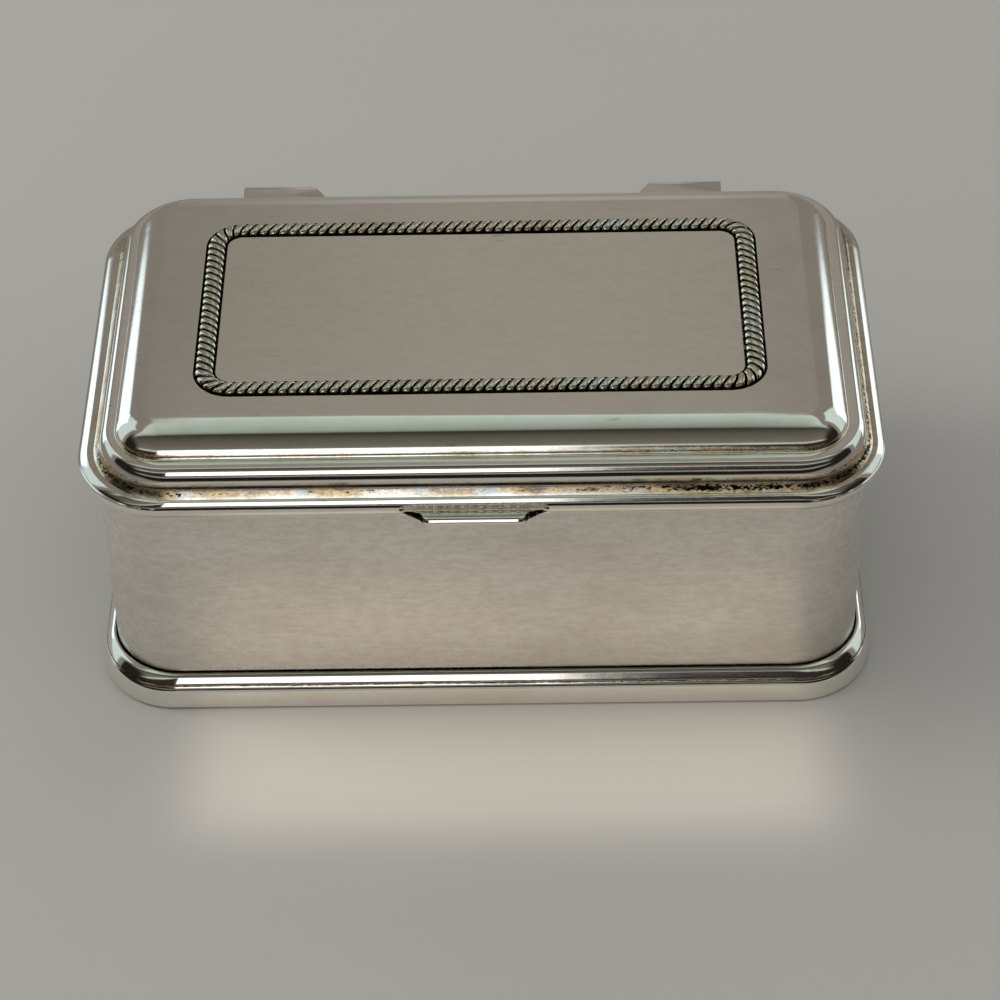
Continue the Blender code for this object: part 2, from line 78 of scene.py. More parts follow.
def linear(red: float, green: float, blue: float) -> Color:
    """Linear colour of a display colour given from 0 to 255.

    Args:
        red: red part as shown on a screen.
        green: green part.
        blue: blue part.

    Returns:
        The three parts as light: c / 12.92 for dark parts, else ((c + 0.055) / 1.055) to the 2.4.
    """
    shown = np.array((red, green, blue)) / 255.0
    light = np.where(shown <= 0.04045, shown / 12.92, ((shown + 0.055) / 1.055) ** 2.4)
    return tuple(float(part) for part in light)


class Wire:
    """An output socket on which arithmetic adds Math nodes."""

    def __init__(self, tree: "Tree", socket: bpy.types.NodeSocket) -> None:
        """Keep the tree and the socket."""
        self.tree = tree
        self.socket = socket

    def __add__(self, other: "Wire | float") -> "Wire":
        """Sum."""
        return self.tree.math("ADD", self, other)

    __radd__ = __add__

    def __mul__(self, other: "Wire | float") -> "Wire":
        """Product."""
        return self.tree.math("MULTIPLY", self, other)

    __rmul__ = __mul__

    def __sub__(self, other: "Wire | float") -> "Wire":
        """Difference."""
        return self.tree.math("SUBTRACT", self, other)

    def __rsub__(self, other: "Wire | float") -> "Wire":
        """Difference from a number."""
        return self.tree.math("SUBTRACT", other, self)

    def smooth(self, low: float, high: float) -> "Wire":
        """Smooth step: 0 below low, 1 above high."""
        ends = {"From Min": low, "From Max": high}
        return self.tree.node(
            "ShaderNodeMapRange", {"interpolation_type": "SMOOTHSTEP"}, {"Value": self, **ends}
        )

    def band(self, low: float, high: float, soft: float) -> "Wire":
        """1 between low and high, falling to 0 over soft at each end."""
        return self.smooth(low - soft, low + soft) * (1.0 - self.smooth(high - soft, high + soft))


class Tree:
    """A node tree in which every node is made by one method."""

    def __init__(self, tree: bpy.types.NodeTree) -> None:
        """Empty the tree and keep it."""
        tree.nodes.clear()
        self.tree = tree

    def node(
        self,
        kind: str,
        settings: Mapping[str, object] | None = None,
        inputs: Mapping[str | int, object] | None = None,
        output: str | int = 0,
    ) -> Wire | None:
        """Add a node.

        Args:
            kind: Blender's type name.
            settings: properties of the node, set first; "stops" are a ramp's places and colours.
            inputs: values or wires for its sockets, by name or number.
            output: the output socket that the result stands for.

        Returns:
            The chosen output, or None for a node that has none.
        """
        node = self.tree.nodes.new(kind)
        for name, value in (settings or {}).items():
            if name == "stops":
                self.set_stops(node.color_ramp, value)
            else:
                setattr(node, name, value)
        for name, value in (inputs or {}).items():
            if isinstance(value, Wire):
                self.tree.links.new(value.socket, node.inputs[name])
            else:
                node.inputs[name].default_value = value
        return Wire(self, node.outputs[output]) if node.outputs else None

    def set_stops(
        self, ramp: bpy.types.ColorRamp, stops: Sequence[tuple[float, Color]]
    ) -> None:
        """Give a ramp its stops.

        Args:
            ramp: the ramp.
            stops: places from 0 to 1 with their colours, in order.
        """
        while len(ramp.elements) > 1:
            ramp.elements.remove(ramp.elements[-1])
        ramp.elements[0].position = stops[0][0]
        for place, _ in stops[1:]:
            ramp.elements.new(place)
        for element, (_, color) in zip(ramp.elements, stops):
            element.color = (*color, 1.0)

    def math(self, operation: str, first: Wire | float, second: Wire | float = 0.0) -> Wire:
        """Math node on one or two values."""
        return self.node("ShaderNodeMath", {"operation": operation}, {0: first, 1: second})

    def mix(self, factor: Wire | float, first: Wire | Color, second: Wire | Color) -> Wire:
        """Mix of two colours.

        Args:
            factor: share of the second.
            first: colour or wire.
            second: colour or wire.

        Returns:
            The mixed colour.
        """
        colors = [c if isinstance(c, Wire) else (*c, 1.0) for c in (first, second)]
        inputs = {0: factor, 6: colors[0], 7: colors[1]}
        return self.node("ShaderNodeMix", {"data_type": "RGBA"}, inputs, 2)

    def places(self) -> Wire:
        """Object coordinates, in metres."""
        return self.node("ShaderNodeTexCoord", output="Object")

    def stretched(self, places: Wire, scale: Sequence[float], turn: float = 0.0) -> Wire:
        """Coordinates scaled along each axis, after a turn in degrees about Z."""
        turned = (0.0, 0.0, math.radians(turn))
        return self.node(
            "ShaderNodeMapping", {}, {"Vector": places, "Scale": scale, "Rotation": turned}
        )

    def noise(
        self, places: Wire, scale: float, detail: float = 2.0, rough: float = 0.5
    ) -> Wire:
        """Noise of a number of lumps per metre."""
        return self.node(
            "ShaderNodeTexNoise",
            {},
            {"Vector": places, "Scale": scale, "Detail": detail, "Roughness": rough},
        )

    def ramp(self, value: Wire, stops: Sequence[tuple[float, Color]]) -> Wire:
        """Colour ramp."""
        return self.node("ShaderNodeValToRGB", {"stops": stops}, {0: value})

    def bump(self, height: Wire, distance: float, normal: Wire | None = None) -> Wire:
        """Bump of a height from 0 to 1, where 1 stands distance metres proud."""
        inputs = {"Height": height, "Distance": distance, "Strength": 1.0}
        if normal:
            inputs["Normal"] = normal
        return self.node("ShaderNodeBump", {}, inputs)

    def attribute(self, name: str) -> Wire:
        """A number kept on the mesh's points."""
        return self.node("ShaderNodeAttribute", {"attribute_name": name}, {}, "Fac")

    def surface(self, inputs: Mapping[str, object]) -> None:
        """Principled shader with these sockets, led to the output."""
        shader = self.node("ShaderNodeBsdfPrincipled", {}, inputs)
        self.node("ShaderNodeOutputMaterial", {}, {"Surface": shader})


def new_material(name: str) -> tuple[bpy.types.Material, Tree]:
    """A material with an empty tree."""
    material = bpy.data.materials.new(name)
    material.use_nodes = True
    return material, Tree(material.node_tree)


def linked(name: str, data: bpy.types.ID) -> bpy.types.Object:
    """New object at the origin, in the scene.

    Args:
        name: its name.
        data: its mesh, lamp or camera.

    Returns:
        The object.
    """
    obj = bpy.data.objects.new(name, data)
    bpy.context.scene.collection.objects.link(obj)
    return obj


@dataclass(frozen=True)
class PolishedSilver:
    """Polished silver plate: nearly a mirror, a little wavy, with scratches and tarnish."""

    name: str = "polished_silver"
    tint: Color = (0.91, 0.88, 0.81)
    roughness: float = 0.07
    wave: float = 4.5e-5
    scratch: float = 1.2e-6

    def build(self) -> bpy.types.Material:
        """Tint with clouds, a fine mottle and a few spots, stained in hollows.

        Stains of brown, gold and blue come where the crevice value and two noises are high
        together, and black ones where it is higher still. On the rope's lower flanks, in the lid's
        rope channel and on the tab's slanting sides that value is painted shade, so the stains
        and the black there are painted shade. A crevice value below 0 is rubbed brighter.

        Returns:
            The material.
        """
        material, tree = new_material(self.name)
        places = tree.places()
        cloud = tree.noise(places, 90.0, 4.0, 0.6)
        speck = tree.noise(tree.stretched(places, (0.5, 1.0, 1.0)), 2600.0, 3.0, 0.66)
        tarnish_and_shade = tree.attribute("tarnish_and_shade")
        # Tarnish colours in hollows, and painted shade where the value stands for shade.
        stain_and_shade = (tarnish_and_shade * 1.25 + cloud * 0.9 + speck * 0.35 - 0.88).smooth(0.0, 0.55)
        stain_and_shade = stain_and_shade * tarnish_and_shade.smooth(0.02, 0.3)
        hue = tree.ramp(
            tree.noise(tree.stretched(places, (0.5, 1.0, 1.6)), 260.0, 4.0, 0.65),
            (
                (0.36, (0.22, 0.13, 0.06)),
                (0.45, (0.86, 0.64, 0.32)),
                (0.52, (0.50, 0.36, 0.22)),
                (0.60, (0.88, 0.80, 0.62)),
                (0.68, (0.58, 0.72, 0.80)),
            ),
        )
        film = tree.mix(cloud.smooth(0.42, 0.70) * 0.5, self.tint, (0.83, 0.79, 0.71))
        film = tree.mix(tree.math("MAXIMUM", tarnish_and_shade * -0.8, 0.0), film, (1.0, 0.96, 0.87))
        dents = tree.noise(tree.stretched(places, (0.35, 1.0, 1.0)), 430.0, 3.0, 0.62)
        spots = dents.smooth(0.65, 0.72) * cloud.smooth(0.50, 0.62)
        film = tree.mix(spots * 0.5, film, (0.48, 0.40, 0.31))
        mottle = tree.noise(tree.stretched(places, (0.5, 1.0, 1.0)), 760.0, 4.0, 0.72)
        film = tree.mix(mottle.smooth(0.42, 0.62) * 0.22, film, (0.80, 0.73, 0.67))
        color = tree.mix(stain_and_shade * 0.85, film, hue)
        # Near black: black tarnish in the lid's hollows, and painted shade in the rope channel, on
        # the rope's lower flanks and on the tab's slanting sides.
        black = (tarnish_and_shade + (speck - 0.5) * 1.3 + (cloud - 0.5) * 0.5).smooth(0.74, 0.86)
        color = tree.mix(black, color, (0.012, 0.011, 0.009))
        scratches = self.scratches(tree, places)
        rough = speck * 0.03 + cloud * 0.04 + (self.roughness - 0.03)
        rough = rough + scratches * 0.03 + stain_and_shade * 0.16 + black * 0.3
        height = tree.noise(places, 42.0, 1.0) + tree.noise(places, 420.0, 2.0) * 0.05
        normal = tree.bump(height, self.wave)
        normal = tree.bump(scratches + speck * 0.25, self.scratch, normal)
        tree.surface(
            {"Base Color": color, "Metallic": 1.0, "Roughness": rough, "Normal": normal}
        )
        return material

    def scratches(self, tree: Tree, places: Wire) -> Wire:
        """Hair scratches: thin ridges of three noises, each stretched along a line of its own.

        Args:
            tree: tree that they are added to.
            places: coordinates that they lie on.

        Returns:
            Their height, from 0 to about 1.
        """
        total = None
        for turn, share in ((4.0, 1.0), (-23.0, 0.7), (67.0, 0.5)):
            lines = tree.noise(tree.stretched(places, (60.0, 2600.0, 900.0), turn), 1.0, 1.0)
            mask = lines.smooth(0.66, 0.74) * share
            total = mask if total is None else total + mask
        return total * tree.noise(places, 60.0, 2.0).smooth(0.42, 0.62)


@dataclass(frozen=True)
class RubbedSilver:
    """Silver plate rubbed dull: cloudy, with a lengthwise grain and darker worn patches."""

    name: str = "satin_silver"
    tint: Color = (0.85, 0.80, 0.735)
    roughness: float = 0.27
    grain: float = 7.0e-6

    def build(self) -> bpy.types.Material:
        """Tint and roughness clouded by stretched noises, with a mottle and fine grain along X.

        Where the crevice value is high, the tint is darker.

        Returns:
            The material.
        """
        material, tree = new_material(self.name)
        places = tree.places()
        long_cloud = tree.noise(tree.stretched(places, (0.35, 1.0, 1.6)), 70.0, 5.0, 0.6)
        patch = tree.noise(tree.stretched(places, (0.6, 1.0, 1.0)), 38.0, 4.0, 0.62)
        streak = tree.noise(tree.stretched(places, (0.06, 1.0, 1.0)), 1500.0, 3.0, 0.7)
        speck = tree.noise(places, 1400.0, 2.0, 0.6)
        worn = (patch + streak * 0.18 + speck * 0.08).smooth(0.60, 0.82)
        color = tree.mix(worn * 0.5, self.tint, (0.70, 0.63, 0.55))
        color = tree.mix(long_cloud.smooth(0.42, 0.68) * 0.45, color, (0.96, 0.93, 0.89))
        marks = streak.smooth(0.66, 0.74) * patch.smooth(0.48, 0.62)
        color = tree.mix(marks * 0.35, color, (0.55, 0.47, 0.38))
        mottle = tree.noise(tree.stretched(places, (0.4, 1.0, 1.0)), 950.0, 4.0, 0.75)
        color = tree.mix(mottle.smooth(0.38, 0.64) * 0.5, color, (0.68, 0.605, 0.54))
        low = tree.attribute("tarnish_and_shade") * (patch * 0.8 + 0.6)
        color = tree.mix(low, color, (0.45, 0.40, 0.34))
        rough = (long_cloud - 0.5) * 0.22 + (streak - 0.5) * 0.10 + worn * 0.07
        rough = rough + self.roughness
        height = streak * 0.7 + speck * 0.3
        normal = tree.bump(tree.noise(places, 55.0, 2.0), 4.0e-5)
        normal = tree.bump(height, self.grain, normal)
        tree.surface(
            {"Base Color": color, "Metallic": 1.0, "Roughness": rough, "Normal": normal}
        )
        return material


@dataclass(frozen=True)
class DrawnSteel:
    """Drawn steel wire: grey, with fine marks along its length."""

    name: str = "drawn_steel"
    tint: Color = (0.50, 0.50, 0.51)

    def build(self) -> bpy.types.Material:
        """Grey metal with a noise stretched along X as colour, roughness and bump.

        Returns:
            The material.
        """
        material, tree = new_material(self.name)
        places = tree.places()
        draw = tree.noise(tree.stretched(places, (0.05, 1.0, 1.0)), 3000.0, 3.0)
        color = tree.mix(draw, self.tint, (0.36, 0.35, 0.34))
        normal = tree.bump(draw, 4.0e-6)
        tree.surface(
            {
                "Base Color": color,
                "Metallic": 1.0,
                "Roughness": draw * 0.2 + 0.25,
                "Normal": normal,
            }
        )
        return material


@dataclass(frozen=True)
class PileCloth:
    """Cloth with a short pile, such as velvet or felt."""

    name: str
    deep: Color
    light: Color
    sheen: float
    sheen_tint: Color
    pile: float
    pile_scale: float

    def build(self) -> bpy.types.Material:
        """Two tones by the lie of the pile, with fine pile bump and a sheen at grazing angles.

        Returns:
            The material.
        """
        material, tree = new_material(self.name)
        places = tree.places()
        lie = tree.noise(places, 60.0, 3.0, 0.55)
        tuft = tree.noise(places, self.pile_scale, 2.0, 0.7)
        color = tree.mix(lie.smooth(0.35, 0.7) * 0.7 + tuft * 0.3, self.deep, self.light)
        normal = tree.bump(lie, 2.0e-4)
        normal = tree.bump(tuft, self.pile, normal)
        tree.surface(
            {
                "Base Color": color,
                "Roughness": 0.92,
                "Sheen Weight": self.sheen,
                "Sheen Roughness": 0.35,
                "Sheen Tint": (*self.sheen_tint, 1.0),
                "Specular IOR Level": 0.25,
                "Normal": normal,
            }
        )
        return material


@dataclass(frozen=True)
class TableTop:
    """Plain pale table."""

    name: str = "table_top"
    color: Color = linear(170, 169, 164)

    def build(self) -> bpy.types.Material:
        """Matt paint, a shade warmer or cooler in wide soft patches.

        Returns:
            The material.
        """
        material, tree = new_material(self.name)
        places = tree.places()
        tone = tree.noise(places, 9.0, 2.0)
        color = tree.mix(tone, self.color, tuple(part * 0.94 for part in self.color))
        tree.surface({"Base Color": color, "Roughness": 0.75, "Specular IOR Level": 0.2})
        return material


def grid_quads(rows: int, columns: int, around: bool) -> np.ndarray:
    """Quads of a grid of points whose rows are closed rings.

    Args:
        rows: number of rows.
        columns: number of points in a row.
        around: the last row joins the first.

    Returns:
        Corner numbers, four a quad: (i, j), (i, j + 1), (i + 1, j + 1), (i + 1, j).
    """
    i, j = np.meshgrid(np.arange(rows if around else rows - 1), np.arange(columns), indexing="ij")
    below, beside = (i + 1) % rows, (j + 1) % columns
    corners = (i * columns + j, i * columns + beside, below * columns + beside, below * columns + j)
    return np.stack(corners, -1).reshape(-1, 4)


def signed_volume(points: np.ndarray, faces: Sequence[Sequence[int]]) -> float:
    """Volume of a closed surface: the sum of its fans' corner products, over six.

    Args:
        points: its places.
        faces: its faces, as corner numbers.

    Returns:
        The volume, below 0 where the faces point inwards.
    """
    total = 0.0
    by_size: dict[int, list] = {}
    for face in faces:
        by_size.setdefault(len(face), []).append(face)
    for size, group in by_size.items():
        ring = points[np.array(group)]
        for k in range(1, size - 1):
            crossed = np.cross(ring[:, k], ring[:, k + 1])
            total += float(np.einsum("ij,ij->", ring[:, 0], crossed))
    return total / 6.0


def solid(
    name: str,
    points: np.ndarray,
    around: bool,
    sharp: float,
    tarnish_and_shade: np.ndarray | None = None,
) -> bpy.types.Object:
    """Closed piece from a grid of points whose rows are closed rings, its faces outwards.

    Args:
        name: name of the piece.
        points: grid of places, rows by columns by 3.
        around: the last row joins the first; otherwise both are capped.
        sharp: angle in degrees past which an edge stays crisp.
        tarnish_and_shade: how far each point lies in a hollow that keeps tarnish, and on some
            pieces how much shade is painted on it, rows by columns.

    Returns:
        The object, at the origin.
    """
    rows, columns = points.shape[:2]
    places = points.reshape(-1, 3)
    faces = grid_quads(rows, columns, around).tolist()
    if not around:
        faces.append(list(range(columns))[::-1])
        faces.append(list(range((rows - 1) * columns, rows * columns)))
    if signed_volume(places, faces) < 0:
        faces = [face[::-1] for face in faces]
    mesh = bpy.data.meshes.new(name)
    mesh.from_pydata(places.tolist(), [], faces)
    mesh.validate()
    mesh.shade_smooth()
    mesh.set_sharp_from_angle(angle=math.radians(sharp))
    if tarnish_and_shade is not None:
        layer = mesh.attributes.new("tarnish_and_shade", "FLOAT", "POINT")
        layer.data.foreach_set("value", tarnish_and_shade.reshape(-1).astype(np.float32))
    return linked(name, mesh)


def enlist(
    obj: bpy.types.Object,
    body: Body,
    material: bpy.types.Material,
    nodes: Sequence[str] = (),
) -> bpy.types.Object:
    """Dress a piece, tie it to its body and report it.

    Args:
        obj: the piece.
        body: body that it rides on.
        material: its finish.
        nodes: CAD nodes that it stands for.

    Returns:
        The piece.
    """
    obj.data.materials.clear()
    obj.data.materials.append(material)
    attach(obj, body.value)
    if nodes:
        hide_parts(*nodes)
    LOG.info("%s: %d faces on %s", obj.name, len(obj.data.polygons), body.value)
    return obj


def dress_node(node: str, material: bpy.types.Material) -> None:
    """Give a CAD node that stays its finish.

    Args:
        node: its name.
        material: its finish.
    """
    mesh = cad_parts[node].data
    mesh.materials.clear()
    mesh.materials.append(material)
    LOG.info("%s: packed shape kept", node)


# Shares of a straight run at which it has a point: closer near the corners.
RUN = (0.006, 0.03, 0.12, 0.3, 0.5, 0.7, 0.88, 0.97, 0.994)


def bell(values: np.ndarray, middle: float, width: float, height: float) -> np.ndarray:
    """Bell curve: height times e to the minus square of the distance from middle over width."""
    return height * np.exp(-(((values - middle) / width) ** 2))


def rings(
    half_x: np.ndarray,
    half_y: np.ndarray,
    corner: np.ndarray,
    height: np.ndarray,
    steps: int = 22,
) -> np.ndarray:
    """Rounded rectangles, one a row: each corner is a quarter circle, joined by straight runs.

    Args:
        half_x: half length of each.
        half_y: half depth of each.
        corner: corner radius of each.
        height: height of each.
        steps: arcs of a corner.

    Returns:
        Places, rows by columns by 3, anticlockwise from the right-hand corner at the front.
    """
    half = np.stack((half_x, half_y), -1)
    reach = half - corner[:, None]
    arcs = []
    for index, signs in enumerate(((1, -1), (1, 1), (-1, 1), (-1, -1))):
        turn = np.radians(np.linspace(90.0 * (index - 1), 90.0 * index, steps + 1))
        circle = np.stack((np.cos(turn), np.sin(turn)), -1)
        center = (reach * np.array(signs))[:, None, :]
        arcs.append(center + corner[:, None, None] * circle[None])
    pieces = []
    share = np.array(RUN)[None, :, None]
    for index, arc in enumerate(arcs):
        start, end = arc[:, -1:], arcs[(index + 1) % 4][:, :1]
        pieces += [arc, start + (end - start) * share]
    plan = np.concatenate(pieces, 1)
    tall = np.broadcast_to(height[:, None, None], plan.shape[:2] + (1,))
    return np.concatenate((plan, tall), -1)


class Profile:
    """Section grown piece by piece; a point is (inset from the outermost line, height)."""

    def __init__(self, inset: float, height: float) -> None:
        """Start at a point."""
        self.points = np.array([[inset, height]])

    def add(self, more: np.ndarray) -> "Profile":
        """Join on more points."""
        self.points = np.concatenate((self.points, more))
        return self

    def looks(self, *arcs: tuple[float, float, float]) -> "Profile":
        """Arcs, each given by how its face looks and by its length.

        While the look turns evenly from the first to the last angle a, in degrees above level,
        each short step of length d goes d sin a inwards and d cos a up.

        Args:
            arcs: first angle, last angle and length in millimetres of each.

        Returns:
            The grown section.
        """
        for first, last, length in arcs:
            count = max(2, round(abs(last - first) / 2.2))
            look = np.radians(first + (last - first) * (np.arange(count) + 0.5) / count)
            steps = np.stack((np.sin(look), np.cos(look)), -1) * length * MM / count
            self.add(self.points[-1] + np.cumsum(steps, 0))
        return self

    def line(self, *points: tuple[float, float]) -> "Profile":
        """Straight lines to these points."""
        return self.add(np.array(points))


def loop_sides(half: np.ndarray, corner: float) -> tuple[np.ndarray, float]:
    """Lengths of a rounded rectangle's four straight runs, from the front one on, and of a bend.

    Args:
        half: half length and half depth.
        corner: corner radius.

    Returns:
        The runs and the quarter circle.
    """
    run_x, run_y = 2 * (half - corner)
    return np.array((run_x, run_y) * 2), math.pi / 2 * corner


def along_loop(
    half: np.ndarray, corner: float, distance: np.ndarray
) -> tuple[np.ndarray, np.ndarray]:
    """Places on a rounded rectangle at distances along it, anticlockwise from the front run.

    A straight run goes on in its direction; a corner is a quarter turn about its centre.

    Args:
        half: half length and half depth.
        corner: corner radius.
        distance: distances along the loop, any shape.

    Returns:
        The places and the outward directions, both with a last axis of 2.
    """
    reach = half - corner
    sides, bend = loop_sides(half, corner)
    starts = np.concatenate(([0.0], np.cumsum(sides + bend)))
    d = np.mod(distance, starts[-1])
    side = np.clip(np.searchsorted(starts, d, side="right") - 1, 0, 3)
    run = d - starts[side]
    past = np.clip(run - sides[side], 0.0, None)
    heading = side * math.pi / 2 + past / corner
    base = side * math.pi / 2
    along = np.stack((np.cos(base), np.sin(base)), -1)
    outward = np.stack((np.sin(heading), -np.cos(heading)), -1)
    corners = np.array(((-1, -1), (1, -1), (1, 1), (-1, 1))) * reach
    point = corners[side] + along * np.minimum(run, sides[side])[..., None]
    return point + outward * corner, outward


@dataclass
class Viewpoint:
    """Camera of the photograph, from a fit of the box's outlines."""

    place: tuple[float, float, float] = (0.00868, -0.41191, 0.38453)
    pitch: float = 42.216
    yaw: float = -0.869
    roll: float = -1.3165
    lens: float = 118.01

    def build(self) -> None:
        """Camera that looks down by pitch, turned by yaw about the upright and rolled."""
        data = bpy.data.cameras.new("photo_view")
        data.lens = self.lens
        data.sensor_width = 36.0
        data.clip_start, data.clip_end = 0.01, 50.0
        camera = linked("photo_view", data)
        pitch, yaw, roll = (math.radians(v) for v in (self.pitch, self.yaw, self.roll))
        ahead = Vector(
            (math.sin(yaw) * math.cos(pitch), math.cos(yaw) * math.cos(pitch), -math.sin(pitch))
        )
        right = Vector((math.cos(yaw), -math.sin(yaw), 0.0))
        up = right.cross(ahead)
        across = math.cos(roll) * right + math.sin(roll) * up
        top = -math.sin(roll) * right + math.cos(roll) * up
        turn = Matrix((across, top, -ahead)).transposed()
        camera.matrix_world = Matrix.Translation(Vector(self.place)) @ turn.to_4x4()
        bpy.context.scene.camera = camera


@dataclass(frozen=True)
class Panel:
    """A soft-edged bright or dark panel of the studio, as a range of directions.

    Azimuth is 0 towards -Y and 90 towards +X; elevation is above level; both in degrees.
    """

    azimuth: tuple[float, float]
    elevation: tuple[float, float]
    soft: float
    color: Color
    gain: float = 1.0


@dataclass
class Studio:
    """Table, key light and the surroundings that the silver mirrors."""

    mirror_tint: Color = PolishedSilver.tint
    front_edge: float = 0.50
    near_half: float = 0.125
    near_back: float = 0.07
    far: float = 4.0
    fill: float = 0.74
    key_watts: float = 3.4
    key_size: float = 0.55
    key_place: tuple[float, float, float] = (-0.75, 0.10, 0.70)
    key_color: Color = (1.0, 0.985, 0.955)
    thrown_watts: float = 0.0064
    thrown_size: tuple[float, float] = (0.102, 0.0265)
    thrown_place: tuple[float, float, float] = (0.004, -0.0518, 0.007)
    thrown_color: Color = (1.0, 0.87, 0.73)
    # Tones as a screen shows them, over the angle from level in front, over the top and down.
    arc_tones: Sequence[tuple[float, Color]] = (
        (-90.0, (120, 116, 108)),
        (-7.0, (120, 116, 108)),
        (-4.0, (26, 24, 19)),
        (7.0, (21, 20, 16)),
        (8.5, (150, 146, 135)),
        (10.5, (150, 146, 135)),
        (12.5, (40, 36, 30)),
        (29.5, (46, 42, 35)),
        (31.0, (190, 188, 178)),
        (33.0, (190, 188, 178)),
        (36.0, (108, 105, 93)),
        (50.0, (96, 92, 81)),
        (62.0, (82, 79, 69)),
        (70.0, (64, 62, 54)),
        (76.5, (48, 47, 39)),
        (79.0, (112, 115, 104)),
        (84.0, (126, 132, 120)),
        (95.0, (143, 153, 139)),
        (112.0, (162, 174, 160)),
        (128.0, (176, 188, 174)),
        (133.5, (188, 197, 184)),
        (135.5, (188, 197, 184)),
        (137.0, (143, 137, 126)),
        (150.0, (138, 131, 121)),
        (168.0, (165, 155, 146)),
        (196.0, (150, 148, 142)),
        (270.0, (120, 116, 108)),
    )
    # Tones over the elevation, far to the sides.
    side_tones: Sequence[tuple[float, Color]] = (
        (-90.0, (120, 116, 108)),
        (-9.0, (116, 112, 104)),
        (-5.0, (30, 28, 23)),
        (22.0, (32, 30, 25)),
        (34.0, (74, 70, 62)),
        (46.0, (112, 106, 97)),
        (90.0, (122, 116, 106)),
    )
    back_side: Color = (124, 118, 108)
    backdrop: Color = (186, 185, 181)
    # Shift of the tones in degrees for each unit by which a direction leans past narrow_from, and
    # for each unit past close_from on either side of close_about, up to close_most.
    narrowing: float = 82.0
    narrow_from: float = 0.11
    closing: float = 1200.0
    close_about: float = -0.021
    close_from: float = 0.091
    close_most: float = 14.0
    panels: Sequence[Panel] = (
        Panel((-9.5, 0.7), (15.5, 34.0), 0.5, (255, 252, 244), 1.5),
        Panel((-139.0, -98.0), (-8.0, 50.0), 2.5, (196, 210, 203)),
        Panel((98.0, 139.0), (-8.0, 50.0), 2.5, (196, 208, 200)),
        Panel((-141.7, -124.0), (-15.0, 22.0), 0.8, (238, 252, 250), 1.2),
        Panel((124.0, 141.6), (-20.0, 16.0), 0.8, (240, 250, 246), 1.2),
    )

    def seen(self, color: Color, gain: float = 1.0) -> Color:
        """Light that the tinted silver shows as this display colour."""
        return tuple(c / t * gain for c, t in zip(linear(*color), self.mirror_tint))

    def build(self) -> None:
        """Make the table, the key light and the world."""
        self.make_table()
        self.make_key()
        self.make_thrown_light()
        self.make_world()

    def make_table(self) -> None:
        """A near patch that only the silver mirrors, and a floor for everything else."""
        material = TableTop().build()
        near = (-self.near_half, -self.front_edge, self.near_half, self.near_back)
        patch = self.floor("near_floor", near, 0.0, material)
        patch.visible_camera = patch.visible_diffuse = patch.visible_shadow = False
        patch.visible_transmission = False
        wide = (-self.far, -self.far, self.far, self.far)
        floor = self.floor("far_floor", wide, -0.02 * MM, material)
        floor.visible_glossy = False

    def floor(
        self,
        name: str,
        span: tuple[float, float, float, float],
        height: float,
        material: bpy.types.Material,
    ) -> bpy.types.Object:
        """Level rectangle from (x0, y0) to (x1, y1).

        Args:
            name: name of the floor.
            span: x0, y0, x1, y1.
            height: its height.
            material: its finish.

        Returns:
            The floor.
        """
        x0, y0, x1, y1 = span
        mesh = bpy.data.meshes.new(name)
        corners = [(x0, y0, height), (x1, y0, height), (x1, y1, height), (x0, y1, height)]
        mesh.from_pydata(corners, [], [(0, 1, 2, 3)])
        mesh.materials.append(material)
        obj = linked(name, mesh)
        return obj

    def make_key(self) -> None:
        """Soft lamp at the back left, for the shadow to the right; the silver doesn't show it."""
        data = bpy.data.lights.new("key", "AREA")
        data.shape = "DISK"
        data.size = self.key_size
        data.energy = self.key_watts
        data.color = self.key_color
        lamp = linked("key", data)
        lamp.location = self.key_place
        lamp.rotation_mode = "QUATERNION"
        lamp.rotation_quaternion = (-lamp.location).to_track_quat("-Z", "Y")
        lamp.visible_glossy = False

    def make_thrown_light(self) -> None:
        """Light that the silver front throws on the table: a low strip that looks down."""
        data = bpy.data.lights.new("thrown", "AREA")
        data.shape = "RECTANGLE"
        data.size, data.size_y = self.thrown_size
        data.energy = self.thrown_watts
        data.color = self.thrown_color
        lamp = linked("thrown", data)
        lamp.location = self.thrown_place
        lamp.visible_camera = lamp.visible_glossy = False

